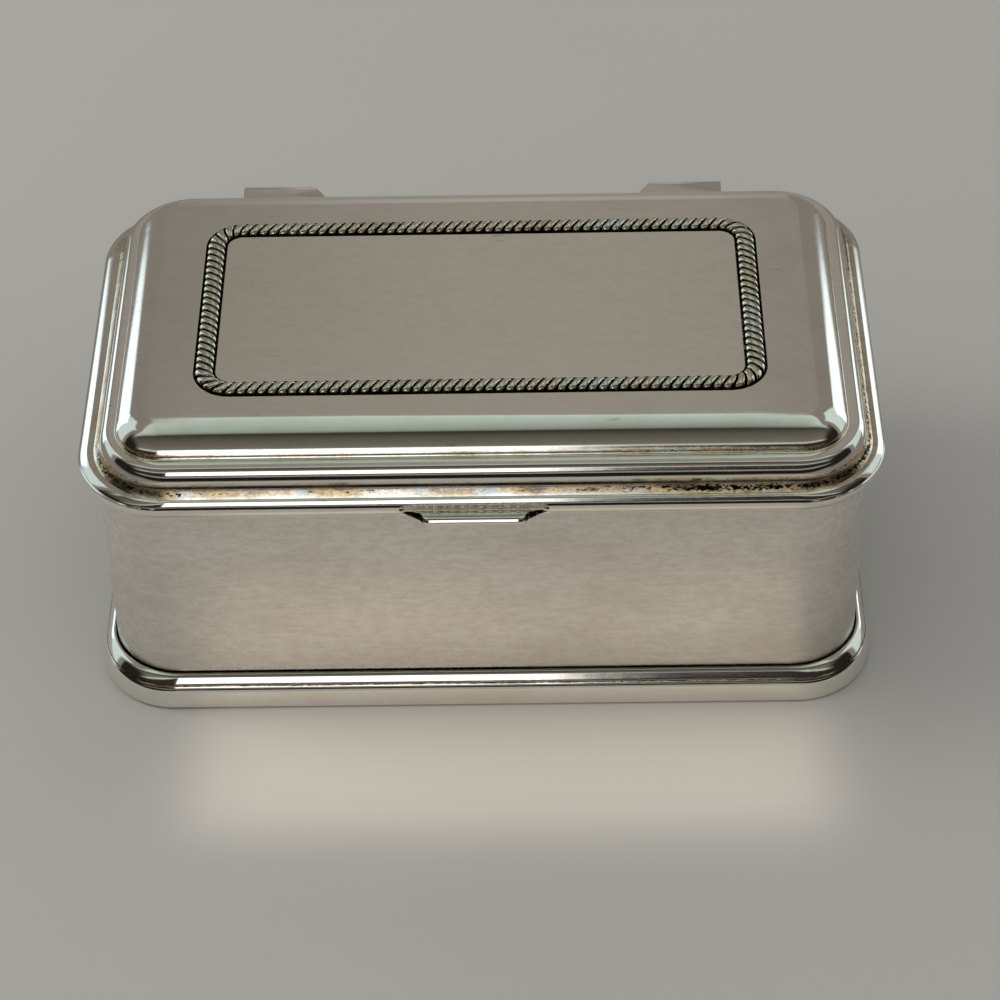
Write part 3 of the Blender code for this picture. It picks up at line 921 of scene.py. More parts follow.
    def make_world(self) -> None:
        """Pale backdrop for the camera, an even fill for matt things, a studio for the silver.

        The studio is a row of tones over the angle that runs from level in front, over the top,
        to level behind. Over the top it is shifted by narrowing times how far a direction leans
        sideways, and more steeply by closing near its ends, so that the pale part narrows
        towards the left and right. Far to the sides it gives way to tones over the elevation.
        Panels are laid over all.
        """
        world = bpy.data.worlds.new("studio")
        bpy.context.scene.world = world
        world.use_nodes = True
        world.cycles.sampling_method = "NONE"
        tree = Tree(world.node_tree)
        direction = tree.node("ShaderNodeTexCoord", output="Generated")
        x, y, z = (
            tree.node("ShaderNodeSeparateXYZ", {}, {0: direction}, axis) for axis in range(3)
        )
        degrees = math.degrees(1.0)
        over = tree.math("ARCTAN2", z, y * -1.0) * degrees
        over = over + tree.math("LESS_THAN", over, -90.0) * 360.0
        azimuth = tree.math("ARCTAN2", x, y * -1.0) * degrees
        elevation = tree.math("ARCSINE", z) * degrees
        lean = tree.math("ABSOLUTE", x)
        high = over.smooth(70.0, 84.0) * (1.0 - over.smooth(150.0, 190.0))
        outward = tree.math("MAXIMUM", lean - self.narrow_from, 0.0) * self.narrowing
        ending = tree.math("ABSOLUTE", x - self.close_about) - self.close_from
        ending = tree.math("MAXIMUM", ending, 0.0) * self.closing
        outward = outward + tree.math("MINIMUM", ending, self.close_most)
        shifted = over + outward * high
        arch = tree.ramp(
            (shifted + 90.0) * (1.0 / 360.0),
            [((at + 90.0) / 360.0, self.seen(color)) for at, color in self.arc_tones],
        )
        side = tree.ramp(
            (elevation + 90.0) * (1.0 / 180.0),
            [((at + 90.0) / 180.0, self.seen(color)) for at, color in self.side_tones],
        )
        behind = shifted.smooth(137.0, 141.0) * lean.smooth(0.01, 0.15)
        light = tree.mix(behind, arch, self.seen(self.back_side))
        beside = lean.smooth(0.66, 0.86) * (1.0 - over.smooth(86.0, 94.0))
        light = tree.mix(beside, light, side)
        for panel in self.panels:
            mask = azimuth.band(*panel.azimuth, panel.soft)
            mask = mask * elevation.band(*panel.elevation, panel.soft)
            light = tree.mix(mask, light, self.seen(panel.color, panel.gain))
        path = tree.tree.nodes.new("ShaderNodeLightPath")
        camera, glossy, through = (
            Wire(tree, path.outputs[name])
            for name in ("Is Camera Ray", "Is Glossy Ray", "Is Transmission Ray")
        )
        fill = tree.node("ShaderNodeBackground", {}, {0: (1.0, 1.0, 1.0, 1.0), 1: self.fill})
        mirrored = tree.node("ShaderNodeBackground", {}, {0: light, 1: 1.0})
        wall = (*linear(*self.backdrop), 1.0)
        backdrop = tree.node("ShaderNodeBackground", {}, {0: wall, 1: 1.0})
        shown = tree.math("MAXIMUM", glossy, through)
        both = tree.node("ShaderNodeMixShader", {}, {0: shown, 1: fill, 2: mirrored})
        final = tree.node("ShaderNodeMixShader", {}, {0: camera, 1: both, 2: backdrop})
        tree.node("ShaderNodeOutputWorld", {}, {0: final})


@dataclass
class Rim:
    """Outermost line of the lid in plan, and how its corner sharpens towards the flat top."""

    half_x: float = 63.5 * MM
    half_y: float = 38.4 * MM
    corner: float = 14.0 * MM
    top_corner: float = 1.5 * MM
    least_corner: float = 1.2 * MM
    top_inset: float = 10.9283 * MM

    def rings(self, section: np.ndarray) -> np.ndarray:
        """Carry a section round the rim; the corner radius falls evenly with the inset.

        Args:
            section: points of (inset, height).

        Returns:
            Places, rows by columns by 3.
        """
        inset, height = section.T
        corner = self.corner - inset * (self.corner - self.top_corner) / self.top_inset
        corner = np.maximum(corner, self.least_corner)
        return rings(self.half_x - inset, self.half_y - inset, corner, height)


@dataclass
class RopeBorder:
    """Twisted wire in its channel around the flat top."""

    half_x: float = 43.45 * MM
    half_y: float = 20.3 * MM
    corner: float = 4.3 * MM
    width: float = 2.85 * MM
    stand: float = 0.8 * MM
    sunk: float = 0.7 * MM
    pitch: float = 1.62 * MM
    lay: float = 60.0
    valley: float = 0.45
    channel_half: float = 1.75 * MM
    channel_depth: float = 1.0 * MM
    strand_steps: int = 12
    around: int = 26
    wrap: tuple[float, float] = (-24.0, 204.0)
    flatness: float = 1.35

    def length(self) -> float:
        """Length of the centre line: four runs and a full turn of corners."""
        run = 4 * (self.half_x + self.half_y - 2 * self.corner)
        return run + 2 * math.pi * self.corner

    def build(self, top: float) -> bpy.types.Object:
        """Sections laid slantwise along the loop.

        Each section is a flattened half oval over a flat foot: of an oval s it takes 1 less
        the power flatness of 1 - s. Its fullness rises from the valley between strands to 1 on
        a strand as the root of 1 - |2 u - 1| cubed, with u from 0 to 1 across the strand. A
        point that lies an offset outwards is moved back along the loop by offset over the
        tangent of the lay angle, so the strands slant. The crevice value is high in the grooves
        between strands, as tarnish, and low down on the flanks, as painted shade; on the sides
        that face the front both reach further, as painted shade.

        Args:
            top: height of the flat top.

        Returns:
            The rope.
        """
        length = self.length()
        strands = round(length / self.pitch)
        count = strands * self.strand_steps
        at = np.arange(count)
        across = (at % self.strand_steps) / self.strand_steps
        lump = np.sqrt(np.clip(1 - np.abs(2 * across - 1) ** 3, 0.0, 1.0))
        full = (self.valley + (1 - self.valley) * lump)[:, None]
        turn = np.radians(np.linspace(*self.wrap, self.around))[None, :]
        offset = np.cos(turn) * self.width / 2 * (1 + full) / 2
        rise = (self.sunk + self.stand) * full
        low = math.sin(math.radians(self.wrap[0]))
        oval = (np.sin(turn) - low) / (1 - low)
        height = rise * (1 - (1 - oval) ** self.flatness)
        distance = (length * at / count)[:, None] - offset / math.tan(math.radians(self.lay))
        point, outward = along_loop(np.array((self.half_x, self.half_y)), self.corner, distance)
        plan = point + outward * offset[..., None]
        tall = (top - self.sunk + height)[..., None]
        # How far a side faces the front; the painted shade in the grooves and on the flanks reaches
        # further there.
        near = np.clip(-outward[..., 1] * np.sign(offset), 0.0, 1.0)
        narrow = 0.70 + 0.22 * near * (1.0 - height / rise)
        groove = 1.0 - np.clip((lump[:, None] - narrow) / 0.26, 0.0, 1.0)
        # Painted shade low down on the flanks, higher up on those that face the front.
        flank_shade = 1.0 - np.clip((height / rise - 0.42 - 0.12 * near) / 0.16, 0.0, 1.0)
        tarnish_and_shade = 0.3 + 0.7 * np.maximum(groove, flank_shade)
        return solid("rope_wire", np.concatenate((plan, tall), -1), True, 50.0, tarnish_and_shade)


@dataclass
class Lid:
    """Stepped lid: pressed sheet, seat frame, rope border and velvet pad."""

    silver: bpy.types.Material
    dull: bpy.types.Material
    worn: bpy.types.Material
    velvet: bpy.types.Material
    rim: Rim = field(default_factory=Rim)
    rope: RopeBorder = field(default_factory=RopeBorder)
    seam: float = 42.2 * MM
    seam_inset: float = 0.665 * MM
    sheet: float = 0.8 * MM
    # The outer face from its lower edge: rim bead, cove, step bead, ledge and shoulder.
    arcs: Sequence[tuple[float, float, float]] = (
        (-40.0, 0.0, 1.95),
        (0.0, 17.5, 0.16),
        (17.5, 28.0, 0.66),
        (28.0, 37.3, 0.60),
        (37.3, 60.0, 0.05),
        (60.0, 88.0, 0.50),
        (37.6, 37.3, 0.22),
        (37.3, 28.0, 1.12),
        (28.0, 18.0, 0.82),
        (18.0, 4.0, 0.10),
        (4.0, 17.5, 0.66),
        (17.5, 28.0, 0.98),
        (28.0, 37.3, 0.57),
        (37.3, 59.4, 0.51),
        (59.4, 90.0, 0.20),
        (92.0, 92.0, 0.16),
        (92.0, 92.0, 1.50),
        (92.0, 92.0, 0.16),
        (92.0, 37.3, 0.26),
        (37.3, 28.0, 0.20),
        (28.0, 22.0, 0.14),
        (22.0, 28.0, 0.12),
        (28.0, 37.3, 0.86),
        (37.3, 59.4, 2.56),
        (59.4, 90.0, 2.715),
    )
    side_inset: float = 1.05 * MM
    side_drift: float = 0.25 * MM
    head_shift: float = 0.75 * MM
    back_inset: float = 1.0 * MM
    # Shares of those three moves over the inset in millimetres.
    end_insets: Sequence[float] = (0.2, 1.0, 4.0, 6.0, 10.9, 12.6)
    end_shares: Sequence[float] = (0.25, 1.15, 1.25, 0.45, 0.15, 0.0)
    head_insets: Sequence[float] = (8.4, 10.9, 12.7, 14.6)
    head_shares: Sequence[float] = (0.0, 1.0, 0.9, 0.0)
    tail_insets: Sequence[float] = (1.4, 3.2, 11.0, 14.0)
    tail_shares: Sequence[float] = (0.0, 1.0, 1.0, 0.0)
    overhang: float = 2.73 * MM
    seat: float = 0.3 * MM
    frame_rise: float = 1.3 * MM
    frame_width: float = 2.4 * MM
    frame_sheet: float = 0.8 * MM
    lip_top: float = 44.6 * MM
    shoulder_foot: float = 50.6 * MM
    # The inner face below the shoulder: inset and height in millimetres.
    under: Sequence[tuple[float, float]] = (
        (6.2, 49.35),
        (5.6, 49.18),
        (5.1, 49.15),
        (4.6, 48.6),
        (4.1, 47.6),
        (3.6, 46.4),
        (3.1, 45.3),
    )
    outside_moves_above: float = 44.4 * MM
    inside_moves_above: float = 45.4 * MM
    # Bells of tarnish: middle and width in millimetres, and height.
    cove_stain: tuple[float, float, float] = (46.2, 0.9, 0.66)
    step_stain: tuple[float, float, float] = (47.4, 0.4, 0.55)
    foot_stain: tuple[float, float, float] = (5.8, 0.30, 0.5)

    def outer(self) -> np.ndarray:
        """Section of the outer face, from the lower edge to the flat top."""
        return Profile(self.seam_inset, self.seam).looks(*self.arcs).points

    def inner(self, outer: np.ndarray) -> np.ndarray:
        """Section of the inner face, from under the flat top down to the lower edge.

        Down to the shoulder's foot it keeps a sheet's thickness from the outer face. Below that
        it runs more plainly.

        Args:
            outer: section of the outer face.

        Returns:
            Points of (inset, height).
        """
        shoulder = outer[outer[:, 1] > self.shoulder_foot][::-3]
        run = np.gradient(shoulder, axis=0)
        length = np.linalg.norm(run, axis=1, keepdims=True)
        inward = np.stack((-run[:, 1], run[:, 0]), -1) / length
        curve = shoulder + inward * self.sheet
        face = self.overhang - self.seat
        lip = ((face, self.lip_top), (face, self.seam + 0.15 * MM), (face - 0.1 * MM, self.seam))
        return np.concatenate((curve, np.array(self.under) * MM, np.array(lip)))

    def pressed(self, grid: np.ndarray, section: np.ndarray, above: float) -> np.ndarray:
        """Unevenness of the pressed sheet, as moves of a grid that was carried round the rim.

        On the ends of the lid the steps lie side_inset further in than along its front, and a
        little further to the right. Along the front the shoulder's head moves back towards the
        left, and along the back all above the cove lies back_inset further in. Each move fades in
        and out over the inset of a row.

        Args:
            grid: places, rows by columns by 3.
            section: inset and height of each row.
            above: rows below this height stay where they are.

        Returns:
            The moved places.
        """
        inset = section[:, 0] / MM
        free = (section[:, 1] > above)[:, None]
        end_share = free * np.interp(inset, self.end_insets, self.end_shares)[:, None]
        side = np.clip(np.abs(grid[..., 0]) / (50.0 * MM), 0.0, 1.0) ** 4
        toward = self.side_drift - np.sign(grid[..., 0]) * self.side_inset
        moved = grid.copy()
        moved[..., 0] += end_share * side * toward
        front = np.clip(-grid[..., 1] / (24.0 * MM), 0.0, 1.0) ** 2
        left = np.clip((36.0 * MM - grid[..., 0]) / (67.0 * MM), 0.0, 1.0)
        left = left * left * (3.0 - 2.0 * left)
        head = free * np.interp(inset, self.head_insets, self.head_shares)[:, None]
        moved[..., 1] += head * left * front * self.head_shift
        back = np.clip(grid[..., 1] / (26.0 * MM), 0.0, 1.0) ** 4
        tail = free * np.interp(inset, self.tail_insets, self.tail_shares)[:, None]
        moved[..., 1] -= tail * back * self.back_inset
        return moved

    def channel(self, grow: float, top: float, depth: float, lip: float) -> np.ndarray:
        """Rounded rectangles of the rope's channel from its inner lip outwards.

        Args:
            grow: how much wider than the channel's half width.
            top: height of the face that it is sunk in.
            depth: its depth.
            lip: radius of its eased edges.

        Returns:
            Rows of half length, half depth, corner and height.
        """
        out = self.rope.channel_half + grow
        flat_end = -lip - 0.02 * MM
        drops = (
            (-0.9 * MM, 0.0),
            (flat_end, 0.0),
            (-lip, 0.0),
            (-0.2 * lip, 0.2 * lip),
            (0.0, lip),
        )
        inner = [(-out + side, top - drop) for side, drop in drops] + [(-out, top - depth)]
        outer = [(-off, height) for off, height in inner[::-1]]
        rows = np.array(inner + outer)
        return np.stack(
            (
                self.rope.half_x + rows[:, 0],
                self.rope.half_y + rows[:, 0],
                np.maximum(self.rope.corner + rows[:, 0], 0.4 * MM),
                rows[:, 1],
            ),
            -1,
        )

    def make_shell(self) -> tuple[bpy.types.Object, float]:
        """The pressed sheet, from the rope's channel over the outside and back inside.

        The channel's lip is eased on its front and sharper at the back.

        Returns:
            The shell and the height of its flat top.
        """
        outer = self.outer()
        top = float(outer[-1, 1])
        flat = np.array(((3.9, 0.0), (2.6, 0.0), (1.2, 0.0))) * MM + outer[-1]
        face = np.vstack((flat, outer[::-1]))
        back = self.inner(outer)[::-1]
        outside = self.pressed(self.rim.rings(face), face, self.outside_moves_above)
        shifted = back - (self.sheet, 0.0)
        inside = self.pressed(self.rim.rings(back), shifted, self.inside_moves_above)
        depth = self.rope.channel_depth
        sharp = rings(*self.channel(0.0, top, depth, 0.03 * MM).T)
        eased = rings(*self.channel(0.0, top, depth, 0.16 * MM).T)
        across = np.sign(np.arange(len(sharp)) - len(sharp) / 2 + 0.5)[:, None]
        toward_back = np.clip(sharp[..., 1] / (20.0 * MM), -1.0, 1.0) ** 3
        away = np.clip(0.35 - across * toward_back, 0.0, 1.0)
        upper = sharp + (eased - sharp) * away[..., None]
        lower = rings(*self.channel(self.sheet, top - self.sheet, depth, 0.14 * MM)[::-1].T)
        points = np.concatenate((upper, outside, inside, lower))
        tarnish_and_shade = self.hollows(points, len(upper), outer)
        return solid("lid_sheet", points, False, 24.0, tarnish_and_shade), top

    def hollows(self, points: np.ndarray, first: int, outer: np.ndarray) -> np.ndarray:
        """How much tarnish each row keeps: bells about the cove and the fillet's foot, and painted
        shade in the channel.

        The panel inside the rope, which is rubbed brighter, has -1.

        Args:
            points: the shell's grid.
            first: number of rows before the outer face.
            outer: section of the outer face.

        Returns:
            Values from -1 to 1, rows by columns.
        """
        values = np.zeros(points.shape[:2])
        values[:2] = -1.0
        # Painted shade: the rope's channel gets the full value, so it shows near black around the
        # rope.
        values[4:first - 4] = 1.0
        inset, height = outer[::-1].T / MM
        cove, step = bell(height, *self.cove_stain), bell(height, *self.step_stain)
        foot = bell(inset, *self.foot_stain)
        band = points[first + 3:first + 3 + len(outer)]
        reach = np.abs(band[..., :2]) - (40.0 * MM, 18.0 * MM)
        corner = np.clip(reach.min(-1) / (12.0 * MM), 0.0, 1.0)
        shade = np.maximum(np.maximum(cove, foot), step)[:, None]
        right = np.clip(band[..., 0] / (45.0 * MM) + 0.2, 0.0, 1.0)
        values[first + 3:first + 3 + len(outer)] = shade * (0.85 + 0.42 * np.maximum(corner, right))
        return values

    def make_frame(self) -> bpy.types.Object:
        """Flat ring inside the rim that comes down on the walls, with eased edges.

        Returns:
            The ring.
        """
        low = self.seam + self.frame_rise
        high = low + self.frame_sheet
        ease = 0.12 * MM
        left, right = self.overhang, self.overhang + self.frame_width
        section = np.array(
            (
                (left, low + ease),
                (left, high - ease),
                (left + ease, high),
                (right - ease, high),
                (right, high - ease),
                (right, low + ease),
                (right - ease, low),
                (left + ease, low),
            )
        )
        return solid("seat_ring", self.rim.rings(section), True, 50.0)

    def make_pad(self) -> bpy.types.Object:
        """Velvet over card under the flat top, with a rounded edge.

        Returns:
            The pad.
        """
        low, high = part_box("lid_lining")
        corner = 3.4 * MM
        return crowned_pad("lid_velvet", high.x, high.y, corner, high.z, low.z - high.z, 0.0)

    def build(self) -> None:
        """Make and dress the lid's pieces."""
        shell, top = self.make_shell()
        enlist(shell, Body.LID, self.silver, ("lid_shell",))
        enlist(self.rope.build(top), Body.LID, self.worn, ("rope_border",))
        enlist(self.make_frame(), Body.LID, self.dull, ("lid_seat_frame",))
        pad = enlist(self.make_pad(), Body.LID, self.velvet, ("lid_lining",))


def crowned_pad(
    name: str,
    half_x: float,
    half_y: float,
    corner: float,
    back: float,
    thick: float,
    crown: float,
) -> bpy.types.Object:
    """Pad of cloth over card, flat on its back.

    The height over the back grows as a quarter circle over the rounded edge, then swells by
    crown times one less the square of how near the edge a ring is.

    Args:
        name: name of the pad.
        half_x: half length.
        half_y: half depth.
        corner: corner radius.
        back: height of the flat back.
        thick: thickness, negative where the pad faces down.
        crown: share of the thickness by which the middle swells.

    Returns:
        The pad.
    """
    edge = min(abs(thick) * 0.6, 1.1 * MM)
    sign = math.copysign(1.0, thick)
    body = abs(thick) / (1 + crown)
    turn = np.linspace(0.0, math.pi / 2, 8)
    inset = edge * (1 - np.cos(turn))
    height = body - edge + edge * np.sin(turn)
    inward = np.linspace(0.03, 0.93, 14) * (half_y - edge)
    swell = crown * body * (1 - (1 - inward / half_y) ** 3)
    insets = np.concatenate(([2.5 * MM, 0.35 * MM, 0.0], inset, edge + inward))
    heights = np.concatenate(([0.0, 0.0, 0.3 * MM], height, body + swell))
    corners = np.maximum(corner - insets * 0.8, 0.5 * MM)
    grid = rings(half_x - insets, half_y - insets, corners, back + sign * heights, 10)
    return solid(name, grid, False, 60.0)


@dataclass
class ThumbTab:
    """Lifting tab on the front of the rim, with the solder that holds it."""

    silver: bpy.types.Material
    solder: bpy.types.Material
    root: float = 11.6 * MM
    turn: float = 7.0 * MM
    meet: float = 8.2 * MM
    off_center: float = -1.0 * MM
    reach: float = 2.45 * MM
    sheet: float = 1.25 * MM
    top: float = 43.77 * MM
    fall: float = 0.012 * MM
    rim: float = 38.4 * MM
    bead_height: float = 43.557 * MM
    bead: float = 1.6 * MM
    saddle: float = 1.9 * MM
    # The nose from the top edge down: rounding, bevel and rounding underneath.
    edge: Sequence[tuple[float, float, float]] = (
        (90.0, 36.0, 0.30),
        (36.0, 30.0, 0.17),
        (30.0, -90.0, 0.55),
    )

    def plan(self, x: np.ndarray) -> np.ndarray:
        """How far the front edge stands out at x.

        The full reach, then an arc of half the reach about |x| = turn as far as |x| = meet, then
        straight to nothing at the root.

        Args:
            x: places along the tab.

        Returns:
            Distances from the rim.
        """
        radius = self.reach / 2
        past = np.clip(np.abs(x) - self.turn, 0.0, self.meet - self.turn)
        rounded = self.reach - radius + np.sqrt(radius**2 - past**2)
        left = (self.root - np.abs(x)) / (self.root - self.meet)
        return np.clip(rounded * np.minimum(left, 1.0), 0.02 * MM, None)

    def make_tab(self) -> bpy.types.Object:
        """Section in the YZ plane carried along X: saddle, top, bevelled nose, underside.

        The saddle is an arc that fits on the rim's bead. The nose follows the edge's arcs,
        scaled to the sheet, which thins towards the root. The slanting sides are painted near
        black, as painted shade.

        Returns:
            The tab.
        """
        side = np.linspace(0.6, 1, 14)
        x = np.concatenate((-side[::-1], np.linspace(-0.58, 0.58, 20), side)) * self.root
        reach = self.plan(x)
        middle = self.rim - self.bead
        rise = (np.array((self.top - self.sheet, self.top)) - self.bead_height) / self.saddle
        turn = np.linspace(*np.arcsin(rise), 8)
        saddle_y, saddle_z = (
            np.broadcast_to(start + self.saddle * wave(turn), (len(x), len(turn)))
            for start, wave in ((middle, np.cos), (self.bead_height, np.sin))
        )
        saddle_top = float(saddle_y[0, -1])
        front = self.rim + reach
        ends = np.clip((self.root - np.abs(x)) / (self.root - self.meet), 0.0, 1.0)
        thick = self.sheet * (0.3 + 0.7 * ends)[:, None]
        out, down = Profile(0.0, 0.0).looks(*self.edge).points.T
        nose = np.minimum(0.55 * thick, (reach[:, None] + 0.2 * MM) * 0.6)
        nose_y = front[:, None] - nose * (1.0 - out / out.max())
        nose_z = self.top - self.fall - (thick - self.fall) * down / down[-1]
        nose_y = np.maximum(nose_y, saddle_top)
        below_y, above_y = (
            np.maximum(nose_y[:, column] - 0.05 * MM, saddle_top)[:, None] for column in (-1, 0)
        )
        near_y = saddle_y[:, -1:] * 0.97 + above_y * 0.03
        y = np.concatenate((saddle_y, near_y, above_y, nose_y, below_y), 1)
        upper = np.array((self.top, self.top - self.fall)) + np.zeros((len(x), 1))
        z = np.concatenate((saddle_z, upper, nose_z, self.top - thick), 1)
        points = np.stack((np.broadcast_to(x[:, None] + self.off_center, y.shape), -y, z), -1)
        # Painted shade: the nose along the slanting sides gets the full crevice value, so it shows
        # near black.
        bevel = np.clip((np.abs(x) - self.meet + 0.7 * MM) / (0.5 * MM), 0.0, 1.0)
        tarnish_and_shade = np.zeros(y.shape)
        tarnish_and_shade[:, saddle_y.shape[1] + 3:-1] = bevel[:, None]
        return solid("thumb_plate", points, False, 35.0, tarnish_and_shade)

    def make_solder(self) -> bpy.types.Object:
        """Uneven bead of solder along the root: its radius wanders by a few sine waves.

        Returns:
            The bead.
        """
        x = np.linspace(-self.root * 0.98, self.root * 0.98, 120)
        wander = np.sin(x * 1900) * 0.12 + np.sin(x * 4700 + 1.3) * 0.16 + np.sin(x * 9100) * 0.10
        taper = np.sqrt(np.clip(1 - (x / self.root) ** 6, 0.0, 1.0))
        radius = 0.28 * MM * (1 + wander) * taper + 0.03 * MM
        turn = np.linspace(0, 2 * math.pi, 13)[:-1]
        y = -(self.rim - 0.12 * MM) - radius[:, None] * np.cos(turn)
        z = self.top + 0.42 * MM + radius[:, None] * 1.5 * np.sin(turn)
        points = np.stack((np.broadcast_to(x[:, None] + self.off_center, y.shape), y, z), -1)
        return solid("tab_solder", points, False, 70.0)

    def build(self) -> None:
        """Make and dress the tab."""
        enlist(self.make_tab(), Body.LID, self.silver, ("thumb_tab",))
        enlist(self.make_solder(), Body.LID, self.solder)


@dataclass
class BoxBody:
    """Walls, foot moulding, bottom plate and felt."""

    silver: bpy.types.Material
    dull: bpy.types.Material
    felt: bpy.types.Material
    half_x: float = 60.77 * MM
    half_y: float = 35.67 * MM
    corner: float = 11.3 * MM
    wall: float = 1.0 * MM
    foot: float = 1.2 * MM
    top: float = 43.2 * MM
    overhang: float = 2.58 * MM
    base_corner: float = 12.7 * MM
    bead_arcs: Sequence[tuple[float, float, float]] = (
        (-5.0, 8.0, 3.05),
        (8.0, 17.5, 0.1),
        (18.0, 23.5, 0.6),
        (24.0, 28.0, 0.2),
        (28.0, 37.3, 0.45),
    )
    step_arcs: Sequence[tuple[float, float, float]] = (
        (24.0, 28.0, 0.06),
        (28.0, 37.3, 1.25),
        (37.3, 62.0, 0.50),
        (62.0, 88.0, 0.40),
    )

    def make_shell(self) -> bpy.types.Object:
        """Walls: a thin upright section with a rounded top edge, carried round the box.

        Returns:
            The walls, whose crevice value rises towards the foot.
        """
        ease = 0.3 * MM
        turn = np.linspace(0.0, math.pi / 2, 5)
        low = self.top - ease
        out = np.stack((ease * (1 - np.cos(turn)), low + ease * np.sin(turn)), -1)
        back = np.stack((self.wall - ease + ease * np.sin(turn), low + ease * np.cos(turn)), -1)
        levels = np.linspace(self.foot + 0.2 * MM, self.top - ease - 0.4 * MM, 14)
        outside = np.stack((np.zeros_like(levels), levels), -1)
        inside = np.stack((np.full_like(levels, self.wall), levels[::-1]), -1)
        section = np.concatenate((outside, out, back, inside))
        worn = 0.36 * np.clip(1 - section[:, 1] / (15.0 * MM), 0.0, 1.0)
        return self.carry("walls", section, self.half_x, self.half_y, self.corner, 1.0, worn)

    def carry(
        self,
        name: str,
        section: np.ndarray,
        half_x: float,
        half_y: float,
        corner: float,
        sharpen: float,
        tarnish_and_shade: np.ndarray,
    ) -> bpy.types.Object:
        """Carry a closed section of (inset, height) round a rounded rectangle.

        Args:
            name: name of the piece.
            section: its points.
            half_x: half length at no inset.
            half_y: half depth at no inset.
            corner: corner radius at no inset.
            sharpen: how much the corner radius falls for each unit of inset.
            tarnish_and_shade: tarnish value of each point of the section.

        Returns:
            The piece.
        """
        inset, height = section.T
        grid = rings(half_x - inset, half_y - inset, corner - sharpen * inset, height)
        return solid(name, grid, True, 26.0, np.repeat(tarnish_and_shade[:, None], grid.shape[1], 1))

    def make_moulding(self) -> bpy.types.Object:
        """Two-step moulding: a plump bead below and a quarter step above.

        Its crevice value is high in the crease between them and where it meets the walls.

        Returns:
            The moulding.
        """
        low = 0.3 * MM
        inner = self.overhang - 0.3 * MM
        outline = Profile(inner, low).line((0.35 * MM, low), (0.15 * MM, low + 0.2 * MM))
        outline.looks(*self.bead_arcs)
        crease = len(outline.points) - 1
        outline.looks(*self.step_arcs)
        outline.line((inner, float(outline.points[-1, 1])))
        at = np.arange(len(outline.points))
        tarnish_and_shade = np.maximum(bell(at, crease, 2.0, 1.0), bell(at, len(at) - 1, 2.5, 0.9))
        sharpen = (self.base_corner - self.corner - 0.3 * MM) / inner
        half_x, half_y = self.half_x + self.overhang, self.half_y + self.overhang
        return self.carry(
            "foot_moulding", outline.points, half_x, half_y, self.base_corner, sharpen, tarnish_and_shade
        )

    def make_felt(self) -> bpy.types.Object:
        """Felt pad under the plate, its lower edge rounded by wear.

        Returns:
            The pad.
        """
        low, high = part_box("base_felt")
        thick = low.z - high.z
        return crowned_pad("felt_pad", high.x, high.y, self.corner, high.z, thick, 0.0)

    def build(self) -> None:
        """Make and dress the body's pieces."""
        enlist(self.make_shell(), Body.BOX, self.dull, ("body_shell",))
        enlist(self.make_moulding(), Body.BOX, self.silver, ("base_moulding",))
        pad = enlist(self.make_felt(), Body.BOX, self.felt, ("base_felt",))
        dress_node("bottom_plate", self.dull)


@dataclass
class Linings:
    """Velvet over card on the floor and the four walls of the box."""

    velvet: bpy.types.Material
    half_x: float = 59.47 * MM
    half_y: float = 34.37 * MM
    corner: float = 10.0 * MM
    thick: float = 1.6 * MM
    gap: float = 0.3 * MM

    def make_floor(self) -> bpy.types.Object:
        """Floor pad, flat below and a little crowned.

        Returns:
            The pad.
        """
        low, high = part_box("floor_lining")
        thick = high.z - low.z
        return crowned_pad("floor_velvet", high.x, high.y, self.corner, low.z, thick, 0.12)

    def make_wall(self, name: str, index: int) -> bpy.types.Object:
        """One strip from the middle of a corner to the middle of the next.

        Its section is flat against the wall, and its face swells as the root of a sine from
        edge to edge, so that its edges are round. The section is carried along the loop.

        Args:
            name: CAD node that it stands for.
            index: 0 in front, then anticlockwise.

        Returns:
            The strip.
        """
        low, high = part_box(name)
        half = np.array((self.half_x, self.half_y))
        sides, bend = loop_sides(half, self.corner)
        start = float(np.sum(sides[:index]) + bend * index)
        margin = self.gap / 2 * self.corner / (self.corner - self.thick)
        ends = (start - bend / 2 + margin, start + sides[index] + bend / 2 - margin)
        bent = np.linspace(0.0, bend / 2 - margin, 9)
        middle = np.linspace(ends[0] + bend / 2, ends[1] - bend / 2, 22)
        distance = np.concatenate((ends[0] + bent[:-1], middle, ends[1] - bent[::-1][1:]))
        turn = np.linspace(0.0, math.pi, 17)
        depth = np.concatenate((self.thick * np.sin(turn) ** 0.35, (0.0, 0.0)))
        face = (low.z + high.z) / 2 - (high.z - low.z) / 2 * np.cos(turn)
        height = np.concatenate((face, (high.z - 2 * MM, low.z + 2 * MM)))
        point, outward = along_loop(half, self.corner, distance)
        plan = point[:, None, :] - outward[:, None, :] * depth[None, :, None]
        tall = np.broadcast_to(height[None, :, None], plan.shape[:2] + (1,))
        grid = np.concatenate((plan, tall), -1)
        return solid(name.replace("lining", "velvet"), grid, False, 60.0)

    def build(self) -> None:
        """Make and dress the linings."""
        pad = enlist(self.make_floor(), Body.BOX, self.velvet, ("floor_lining",))
        for index, side in enumerate(("front", "right", "back", "left")):
            node = "lining_" + side
            strip = self.make_wall(node, index)
            enlist(strip, Body.BOX, self.velvet, (node,))


